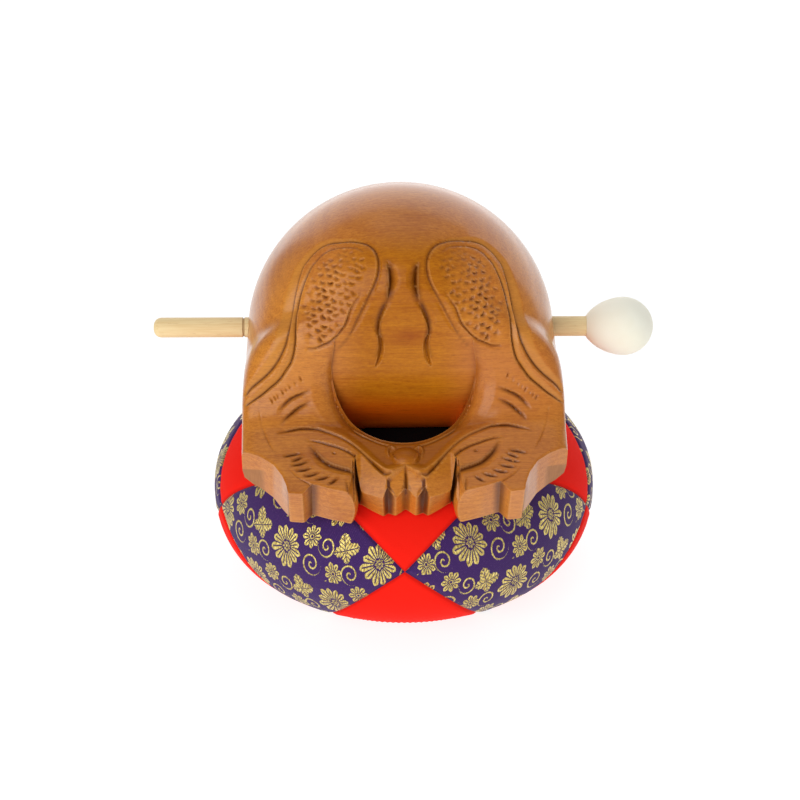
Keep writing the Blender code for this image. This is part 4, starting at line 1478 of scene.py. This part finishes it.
# %% Gilt weft on purple twill
TWILL_STEP = 0.9
rough_edge = gilt.noise(gilt.stretch(flat, (170, 170, 1)), 1.0, 1.0)
twill = ((across + up) * (2 * math.pi / TWILL_STEP)).sine()
woven = (figure + (rough_edge - 0.5) * 0.42 + twill * 0.07).ramp(-0.1, 0.14)
glint = gilt.noise(gilt.stretch(flat, (260, 60, 1)), 1.0, 2.0, 0.6)
gold = gilt.mix(glint.ramp(0.35, 0.65), light(166, 136, 58), light(255, 234, 144))
speck = gilt.noise(gilt.stretch(flat, (210, 210, 1)), 1.0, 1.0).ramp(0.55, 0.75)
ground = gilt.mix(speck * 0.6, light(60, 27, 95), light(98, 58, 124))
ground = gilt.mix(twill.ramp(0.2, 1.0) * 0.25, ground, light(34, 14, 70))
cloth = gilt.mix(woven, ground, gold)
seam = gilt.stored("seam_gap")
cloth = gilt.mix(seam.ramp(1.4, 0.0) * 0.5, cloth, light(28, 10, 52))
gilt.finish(Base_Color=cloth, Metallic=woven * 0.85, Roughness=0.78 - woven * 0.5,
            Normal=gilt.bump(woven * 1.2 + glint * woven * 2.4 + twill * 0.3, 0.00014, 0.9))
print("brocade:", len(gilt.tree.nodes), "nodes")

# %% [markdown]
# ## The cushion's panels
# The cover is sewn from fifteen four-sided panels: five red ones round the top, five of brocade
# round the belly and five red ones below. Each is laid out as a grid between its four seams,
# with its rows closer near them, and put on the cushion's rounded form, a third of a millimetre
# under full size. A sphere with painted patches would have no seams to pull in. The seams are
# not straight on a ball. They leave the belt steeply, and the upper ones bend over towards the
# crown.

# %% Seams on a ball
CUSHION_RADIUS, CUSHION_HALF, CUSHION_MIDDLE = 91.0, 49.2, 42.0
CUSHION_X = 1.0              # mm it sits to one side
UPPER_POWER, LOWER_POWER = 2.29, 2.5
SLACK = 0.3                  # mm under full size
PANELS = 5
BELT_LATITUDE = 1.5          # degrees up from the middle, where four panels meet
RISE = (1.15, -0.0155)       # degrees up per degree round, and its change, along an upper seam
FALL = (-0.715, -0.0095)     # the same along a lower seam
PATCHWORK_TURN = -1.5        # degrees the cushion is turned on the table
HALF_TURN = 180 / PANELS     # degrees from a meeting point to the panel's middle


def on_ball(latitude, longitude):
    """Directions from the cushion's middle, 0 degrees round being the front."""
    a, b = np.radians(latitude), np.radians(longitude + PATCHWORK_TURN)
    return np.column_stack([np.sin(b) * np.cos(a), -np.cos(b) * np.cos(a), np.sin(a) + 0 * b])


def seam_from(k, side, slopes, share):
    """A seam from meeting point k to the middle of the panel beside it."""
    turned = HALF_TURN * share
    latitude = BELT_LATITUDE + slopes[0] * turned + slopes[1] * turned * turned
    return on_ball(latitude, 360 * k / PANELS + side * turned)


def seam_to_pole(k, slopes, share):
    """A seam from the crown or the foot to the middle of panel k."""
    end = BELT_LATITUDE + slopes[0] * HALF_TURN + slopes[1] * HALF_TURN ** 2
    pole = math.copysign(90, end)
    return on_ball(pole + (end - pole) * share, 360 * k / PANELS + HALF_TURN)


def blown_out(directions, less=0.0):
    """Places on the rounded form, in these directions from its middle."""
    flat = np.hypot(directions[:, 0], directions[:, 1])
    power = UPPER_POWER + (LOWER_POWER - UPPER_POWER) * ease(0.05, -0.35, directions[:, 2])
    reach = ((flat / (CUSHION_RADIUS - less)) ** power
             + (np.abs(directions[:, 2]) / (CUSHION_HALF - less)) ** power)
    return directions * (reach ** (-1 / power))[:, None] + (CUSHION_X, 0, CUSHION_MIDDLE)


print("the belt's seams rise to", round(BELT_LATITUDE + RISE[0] * HALF_TURN
                                        + RISE[1] * HALF_TURN ** 2, 1), "degrees")

# %% [markdown]
# ## Sewing the panels
# Each panel is a grid primitive whose points are moved to a blend of its four seams, and then
# out onto the rounded form. Its cloth coordinates are unrolled from the same places, one tenth
# of a metre to one unit, and each point keeps its distance from the nearest seam. The panels are
# joined at the end, and their doubled seam points merged.

# %% Sewing the panels
PANEL_STEPS = 28
CLOSER_ROWS = 0.09           # how much closer the rows are beside the seams
SEAM_SCALE = 75.0            # mm across a panel, about
UP_THE_CLOTH = 1.22          # mm of cloth for each degree up
CLOTH_UNIT = 100             # mm


def sewn_panel(name, edges, paint, middle, offset):
    """One panel: a grid between four seams, with its own piece of cloth."""
    put_down()
    bpy.ops.mesh.primitive_grid_add(x_subdivisions=PANEL_STEPS, y_subdivisions=PANEL_STEPS, size=1)
    panel = named(name)
    column, row = grid_places(panel, PANEL_STEPS, PANEL_STEPS)
    step = np.arange(PANEL_STEPS + 1) / PANEL_STEPS
    step = step - CLOSER_ROWS * np.sin(2 * math.pi * step)
    u, v = step[column][:, None], step[row][:, None]
    near, far, first, last = (edge(step) for edge in edges)
    mixed = ((1 - v) * near[column] + v * far[column] + (1 - u) * first[row] + u * last[row]
             - (1 - u) * (1 - v) * near[0] - u * (1 - v) * near[-1]
             - (1 - u) * v * far[0] - u * v * far[-1])
    mixed /= np.linalg.norm(mixed, axis=1)[:, None]
    placed = blown_out(mixed, SLACK)
    move_points(panel, placed)
    gap = np.minimum.reduce([u, 1 - u, v, 1 - v])[:, 0] * SEAM_SCALE
    write_values(panel, "seam_gap", gap)
    cloth = panel.data.uv_layers[0]
    cloth.name = "cloth"
    turned = np.degrees(np.arctan2(placed[:, 0], -placed[:, 1])) - middle
    turned = np.radians((turned + 180) % 360 - 180)
    height = np.degrees(np.arcsin(mixed[:, 2]))
    uv = np.column_stack([np.hypot(placed[:, 0], placed[:, 1]) * turned + offset[0],
                          UP_THE_CLOTH * height + offset[1]])
    corner_point = np.empty(len(panel.data.loops), int)
    panel.data.loops.foreach_get("vertex_index", corner_point)
    cloth.data.foreach_set("uv", (uv[corner_point] / CLOTH_UNIT).ravel())
    panel.data.materials.append(paint.material)
    return panel


panels = []
for k in range(PANELS):
    after, middle = k + 1, 360 * k / PANELS
    panels.append(sewn_panel(f"top_{k}", (
        lambda t: seam_to_pole(k - 1, RISE, t), lambda t: seam_from(k, 1, RISE, 1 - t),
        lambda t: seam_to_pole(k, RISE, t), lambda t: seam_from(k, -1, RISE, 1 - t)),
        red, middle, (7 * k, 0)))
    panels.append(sewn_panel(f"belt_{k}", (
        lambda t: seam_from(k, 1, RISE, 1 - t), lambda t: seam_from(after, -1, FALL, t),
        lambda t: seam_from(after, -1, RISE, 1 - t), lambda t: seam_from(k, 1, FALL, t)),
        gilt, middle + HALF_TURN, (11.0 * k + 4, 26.5 * k + 9)))
    panels.append(sewn_panel(f"base_{k}", (
        lambda t: seam_to_pole(k, FALL, t), lambda t: seam_from(k, -1, FALL, 1 - t),
        lambda t: seam_to_pole(k - 1, FALL, t), lambda t: seam_from(k, 1, FALL, 1 - t)),
        red, middle, (7 * k, 50)))
put_down()
for panel in panels:
    panel.select_set(True)
bpy.context.view_layer.objects.active = panels[0]
bpy.ops.object.join()
cushion = bpy.context.object
cushion.name = "stuffed_cushion"
close_up(cushion, 0.05 * MM)
print("the cover has", len(cushion.data.vertices), "points in", len(panels), "panels")

# %% [markdown]
# ## Seat and stuffing
# The drum has sat on this cushion for years, so the top is dished to the drum's own underside.
# From below, a ray straight up from each point finds the wood, and the cloth stays just under
# it with a soft shoulder round the edge. Then a cloth simulation with pressure inside is run on
# the cover, with its seams held back as real seams are. With these settings it moves the cover
# by a few hundredths of a millimetre at most: the fullness comes from the form that the panels
# were given, and not from the simulation.

# %% Seat the drum
SEAT_GAP, SHOULDER = 0.6, 2.6
SEAT_LOWEST = CUSHION_MIDDLE - 12          # points below this have no wood to meet
NO_WOOD = 999.0
TABLE_BLEND = 3.0                          # points under this height flatten onto the table
underside = BVHTree.FromObject(drum, bpy.context.evaluated_depsgraph_get())


def wood_above(points):
    """Height of the drum over each place, or far above where there is none."""
    heights = np.full(len(points), NO_WOOD)
    for index, (x, y, z) in enumerate(points):
        if z > SEAT_LOWEST:
            hit = underside.ray_cast(Vector((x, y, 5)) * MM, Vector((0, 0, 1)))[0]
            if hit:
                heights[index] = hit.z / MM
    return heights


def seated(points, gap, blend):
    """The points kept under the drum and above the table."""
    roof = wood_above(points) - gap
    height = points[:, 2]
    share = np.clip(0.5 + 0.5 * (roof - height) / blend, 0, 1)
    low = roof + (height - roof) * share - blend * share * (1 - share)
    kept = points.copy()
    low = np.where(roof < NO_WOOD / 2, low, height)
    half = TABLE_BLEND / 2
    flattened = half + half * np.tanh((low - TABLE_BLEND) / half + 0.55)
    kept[:, 2] = np.where(low < TABLE_BLEND, flattened, low)
    return kept, np.clip((height - kept[:, 2]) / 2, 0, 1)


def stored_values(piece, name):
    """Numbers stored on a piece's points."""
    values = np.empty(len(piece.data.vertices), dtype=np.float32)
    piece.data.attributes[name].data.foreach_get("value", values)
    return values.astype(float)


base, pressed = seated(read_points(cushion), SEAT_GAP, SHOULDER)
move_points(cushion, base)
print("the drum presses down", int((pressed > 0).sum()), "points")

# %% Stuff the cover
PRESSURE, MOST_SWELL = 4.0, 3.2
SEAM_HOLD, SEAM_CLOSE = 0.55, 1.5          # how firmly seams are held, and how near counts
FOOT = 6                                   # below this height the cover is held still
MOMENTS = 20
seam = stored_values(cushion, "seam_gap")
held = np.clip(np.maximum(pressed * 3, SEAM_HOLD * (seam < SEAM_CLOSE)), 0, 1)
held[base[:, 2] < FOOT] = 1
group = cushion.vertex_groups.new(name="held")
for index in np.flatnonzero(held > 0.01):
    group.add([int(index)], float(held[index]), "REPLACE")
pick(cushion)
cloth = cushion.modifiers.new("Stuffing", "CLOTH")
cloth.settings.quality = 6
cloth.settings.mass = 0.25
cloth.settings.tension_stiffness = 25
cloth.settings.compression_stiffness = 25
cloth.settings.bending_stiffness = 1.2
cloth.settings.use_pressure = True
cloth.settings.uniform_pressure_force = PRESSURE
cloth.settings.effector_weights.gravity = 0
cloth.settings.vertex_group_mass = "held"
cloth.point_cache.frame_start = 1
cloth.point_cache.frame_end = MOMENTS
for moment in range(1, MOMENTS + 1):
    bpy.context.scene.frame_set(moment)
bpy.ops.object.modifier_apply(modifier=cloth.name)
swell = read_points(cushion) - base
size = np.linalg.norm(swell, axis=1)
swell *= (np.minimum(size, MOST_SWELL) / np.maximum(size, 1e-6))[:, None]
move_points(cushion, base + swell)
cushion.vertex_groups.clear()
bpy.context.scene.frame_set(1)
print("the stuffing moved the cover", round(float(size.max()), 3), "mm at most")
apply_modifier(cushion, "SUBSURF", levels=1, render_levels=1)

# %% [markdown]
# ## Seams
# A taut seam pulls a narrow crease: the two cloths dip steeply into it and the thread is hidden
# in its floor, with small puckers on both sides. The crease could be modelled with a bevelled
# edge loop, but it is simply pressed in along the stored distance from the seam. It comes last,
# since subdivision would round it off, and the seat is checked once more, so that no cloth
# passes through the wood.

# %% Seams
SEAM_DEPTH, SEAM_REACH = 1.0, 2.6
PUCKER = 0.12
LAST_GAP, LAST_BLEND = 0.4, 0.3
points = read_points(cushion)
seam = stored_values(cushion, "seam_gap")
along = points[:, 0] * 0.55 + points[:, 2] * 0.8
pucker = PUCKER * np.sin(along * 1.3) * np.exp(-seam / 4.5) * ease(0.4, 2.0, seam)
crease = SEAM_DEPTH * np.clip(1 - seam / SEAM_REACH, 0, 1) ** 2
points -= read_normals(cushion) * (crease + pucker)[:, None]
points, _ = seated(points, LAST_GAP, LAST_BLEND)
points[:, 2] = np.maximum(points[:, 2], 0.0)
move_points(cushion, points)
pick(cushion)
bpy.ops.object.shade_smooth()
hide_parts("cushion")
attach(cushion, "root")
low, high = points.min(axis=0), points.max(axis=0)
print("the cushion measures", [round(float(b - a), 1) for a, b in zip(low, high)], "mm")

# %% [markdown]
# ## The beater
# The beater is a turned stick with a rubber head pushed on its end, and it is kept in the drum:
# it runs through the round holes at the two ends of the saw cut. Both pieces are lathe work, so
# each is grown as a lathe would leave it: a ring is drawn at one end and extruded from station
# to station along the axis, wider or narrower each time. Spinning a profile would do as well,
# but it leaves a seam to merge. The head is bored, so that it really sits on the stick's end.

# %% Turn the beater
STICK_RADIUS, STICK_FROM, STICK_TO = 4.65, -114.4, 103.0
BUTT_ROUND = 3.6
RING_AT, RING_DEPTH, RING_HALF = -72.6, 0.5, 0.45
HEAD_FROM, HEAD_WIDEST, HEAD_RADIUS, HEAD_FRONT, HEAD_BACK = 86.4, 103.6, 13.6, 14.0, 19.0
HEAD_POWER, BORE = 1.8, 4.9
BEATER_DROP, BEATER_TURN = 3.0, -1.25      # mm below the holes' middle, degrees round
SIDES = 96
PLAIN_FROM, PLAIN_TO = -68, 96             # where the stick is a plain rod
END_BEVEL, CREEP = 0.4, 0.3                # the stick's hidden end, and room for it in the bore


def turned_piece(name, stations):
    """A closed solid of rings (place along X, radius), as a lathe would leave it."""
    put_down()
    bpy.ops.mesh.primitive_circle_add(vertices=SIDES, radius=stations[0][1] * MM,
                                      location=(stations[0][0] * MM, 0, 0),
                                      rotation=(0, math.pi / 2, 0), fill_type="NGON")
    piece = named(name)
    bpy.ops.object.transform_apply(location=True, rotation=True, scale=True)
    bpy.ops.object.mode_set(mode="EDIT")
    bpy.ops.mesh.select_all(action="SELECT")
    for (place, radius), (next_place, next_radius) in zip(stations, stations[1:]):
        bpy.ops.mesh.extrude_region_move(
            TRANSFORM_OT_translate={"value": ((next_place - place) * MM, 0, 0)})
        share = next_radius / radius
        bpy.ops.transform.resize(value=(share, share, share), center_override=(next_place * MM, 0, 0))
    bpy.ops.mesh.select_all(action="SELECT")
    bpy.ops.mesh.normals_make_consistent(inside=False)
    put_down()
    return piece


butt = [(STICK_FROM + BUTT_ROUND * (1 - math.cos(a)), STICK_RADIUS - BUTT_ROUND * (1 - math.sin(a)))
        for a in np.radians(np.arange(0, 91, 10))]
groove = [(RING_AT + RING_HALF * side, STICK_RADIUS - RING_DEPTH * deep)
          for side, deep in ((-1.3, 0), (-1, 0.05), (-0.35, 1), (0.35, 1), (1, 0.05), (1.3, 0))]
middle = [(place, STICK_RADIUS) for place in np.linspace(PLAIN_FROM, PLAIN_TO, 12)]
end = [(STICK_TO - END_BEVEL, STICK_RADIUS), (STICK_TO, STICK_RADIUS - END_BEVEL)]
stick = turned_piece("turned_stick", butt + groove + middle + end)

egg = []
for back in np.linspace(HEAD_WIDEST - HEAD_FROM, 0.8, 18):
    egg.append((HEAD_WIDEST - back,
                HEAD_RADIUS * (1 - (back / HEAD_BACK) ** HEAD_POWER) ** (1 / HEAD_POWER)))
for a in np.radians(np.arange(0, 90, 4)):
    egg.append((HEAD_WIDEST + HEAD_FRONT * math.sin(a), HEAD_RADIUS * math.cos(a)))
bore = [(STICK_TO + CREEP, 1.0), (STICK_TO + CREEP, BORE - 0.1), (STICK_TO, BORE),
        (HEAD_FROM + CREEP, BORE)]
head = turned_piece("rubber_head", bore + egg)

hole_middle = DRUM_AT + Matrix.Rotation(TILT, 3, "X") @ Vector((0, SLIT_HOLE_Y, 0)) * MM
for piece in (stick, head):
    pick(piece)
    bpy.ops.object.shade_smooth_by_angle(angle=math.radians(40))
    piece.location = hole_middle - Vector((0, 0, BEATER_DROP * MM))
    piece.rotation_euler.z = math.radians(BEATER_TURN)
    bpy.ops.object.transform_apply(location=True, rotation=True, scale=True)
    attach(piece, "root")
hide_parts("beater_stick")
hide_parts("beater_head")
print("the beater is", round(HEAD_WIDEST + HEAD_FRONT - STICK_FROM, 1), "mm long")

# %% [markdown]
# ## Pale wood and rubber
# The stick is a straight-grained, nearly white wood, waxed and not lacquered, with fine pores
# drawn out along it and a ring turned near the drum, painted darker in its groove. The head is moulded
# rubber: one cream colour with a faint bloom, and smooth with a soft shine.

# %% Pale wood
ash = Paint("pale_wood", Specular_IOR_Level=0.3)
flat = ash.places()
broad = ash.noise(ash.stretch(flat, (9, 240, 240)), 1.0, 3.0, 0.6)
fine = ash.noise(ash.stretch(flat, (60, 1500, 1500)), 1.0, 2.0, 0.6)
along, _, height = ash.parts(flat)
pores = ash.noise(ash.stretch(flat, (170, 2600, 2600)), 1.0, 1.0).ramp(0.66, 0.76)
body = ash.mix(broad.ramp(0.3, 0.7), light(240, 212, 158), light(248, 228, 178))
body = ash.mix(fine.ramp(0.35, 0.7) * 0.45, body, light(224, 188, 128))
body = ash.mix(pores * 0.4, body, light(196, 148, 92))
# the groove of the turned ring is painted darker
ring = (along * 1000 - (hole_middle.x / MM + RING_AT)).size().ramp(0.75, 0.3)
body = ash.mix(ring * 0.6, body, light(150, 104, 58))
ash.finish(Base_Color=body, Roughness=0.52 - fine * 0.1,
           Normal=ash.bump(fine - pores, 0.00008, 0.4))
stick.data.materials.clear()
stick.data.materials.append(ash.material)
print("the pale wood has", len(ash.tree.nodes), "nodes")

# %% Cream rubber
rubber = Paint("cream_rubber", Specular_IOR_Level=0.35)
bloom = rubber.noise(rubber.places(), 60.0, 3.0)
grain = rubber.noise(rubber.places(), 1600.0, 1.0)
body = rubber.mix(bloom.ramp(0.3, 0.7), light(250, 246, 226), light(254, 252, 236))
rubber.finish(Base_Color=body, Roughness=0.46 + bloom * 0.1,
              Normal=rubber.bump(grain, 0.00003, 0.25))
head.data.materials.clear()
head.data.materials.append(rubber.material)
print("the rubber has", len(rubber.tree.nodes), "nodes")

# %% [markdown]
# ## A place to stand it
# The object stands on a plain white table that is lit from within, as a light table is, so it
# shines softly up under the drum and the cushion, and the rounded sides catch it. One large soft
# lamp stands in front, a little to the left and as high as the eye. A wide pale screen behind
# and a small lamp above give the crown its soft veil, and the rest of the room is dim and even.
# The camera looks down through a long lens, from in front and a little to the left.

# %% Table, lamps and camera
TABLE_SIZE = 60.0
LAMPS = (("front_lamp", (-0.65, -1.3, 0.74), 1.3, 1.3, 14.2),      # place, width, height, power
         ("top_lamp", (0.1, 0.3, 1.6), 1.2, 1.2, 2.6),
         ("rear_screen", (0.5, 2.0, 1.0), 5.0, 2.2, 38.0))
ROOM_LIGHT = 0.32
CAMERA_AT, CAMERA_AIM, CAMERA_LENS = (-0.0326, -1.0365, 0.6051), (-0.0008, 0.0, 0.0856), 110.4


def facing_to(place, target):
    """The turn that points an object at this place towards its target."""
    return (Vector(target) - Vector(place)).to_track_quat("-Z", "Y").to_euler()


put_down()
bpy.ops.mesh.primitive_plane_add(size=TABLE_SIZE)
table = named("table")
table_top = Paint("light_table", Base_Color=(*light(150, 150, 150), 1), Roughness=0.9,
                  Specular_IOR_Level=0.0, Emission_Color=(1, 1, 1, 1), Emission_Strength=0.86)
table.data.materials.append(table_top.material)
for name, place, width, tall, power in LAMPS:
    bpy.ops.object.light_add(type="AREA", location=place, rotation=facing_to(place, (0, 0, 0.09)))
    lamp = bpy.context.object
    lamp.name = name
    lamp.data.shape = "RECTANGLE"
    lamp.data.size, lamp.data.size_y = width, tall
    lamp.data.energy = power
room = bpy.data.worlds.new("room")
room.use_nodes = True
room.node_tree.nodes["Background"].inputs["Color"].default_value = (1, 1, 1, 1)
room.node_tree.nodes["Background"].inputs["Strength"].default_value = ROOM_LIGHT
bpy.context.scene.world = room
bpy.ops.object.camera_add(location=CAMERA_AT, rotation=facing_to(CAMERA_AT, CAMERA_AIM))
camera = bpy.context.object
camera.data.lens = CAMERA_LENS
bpy.context.scene.camera = camera
bpy.context.scene.view_settings.view_transform = "Standard"
print("the stage is set")
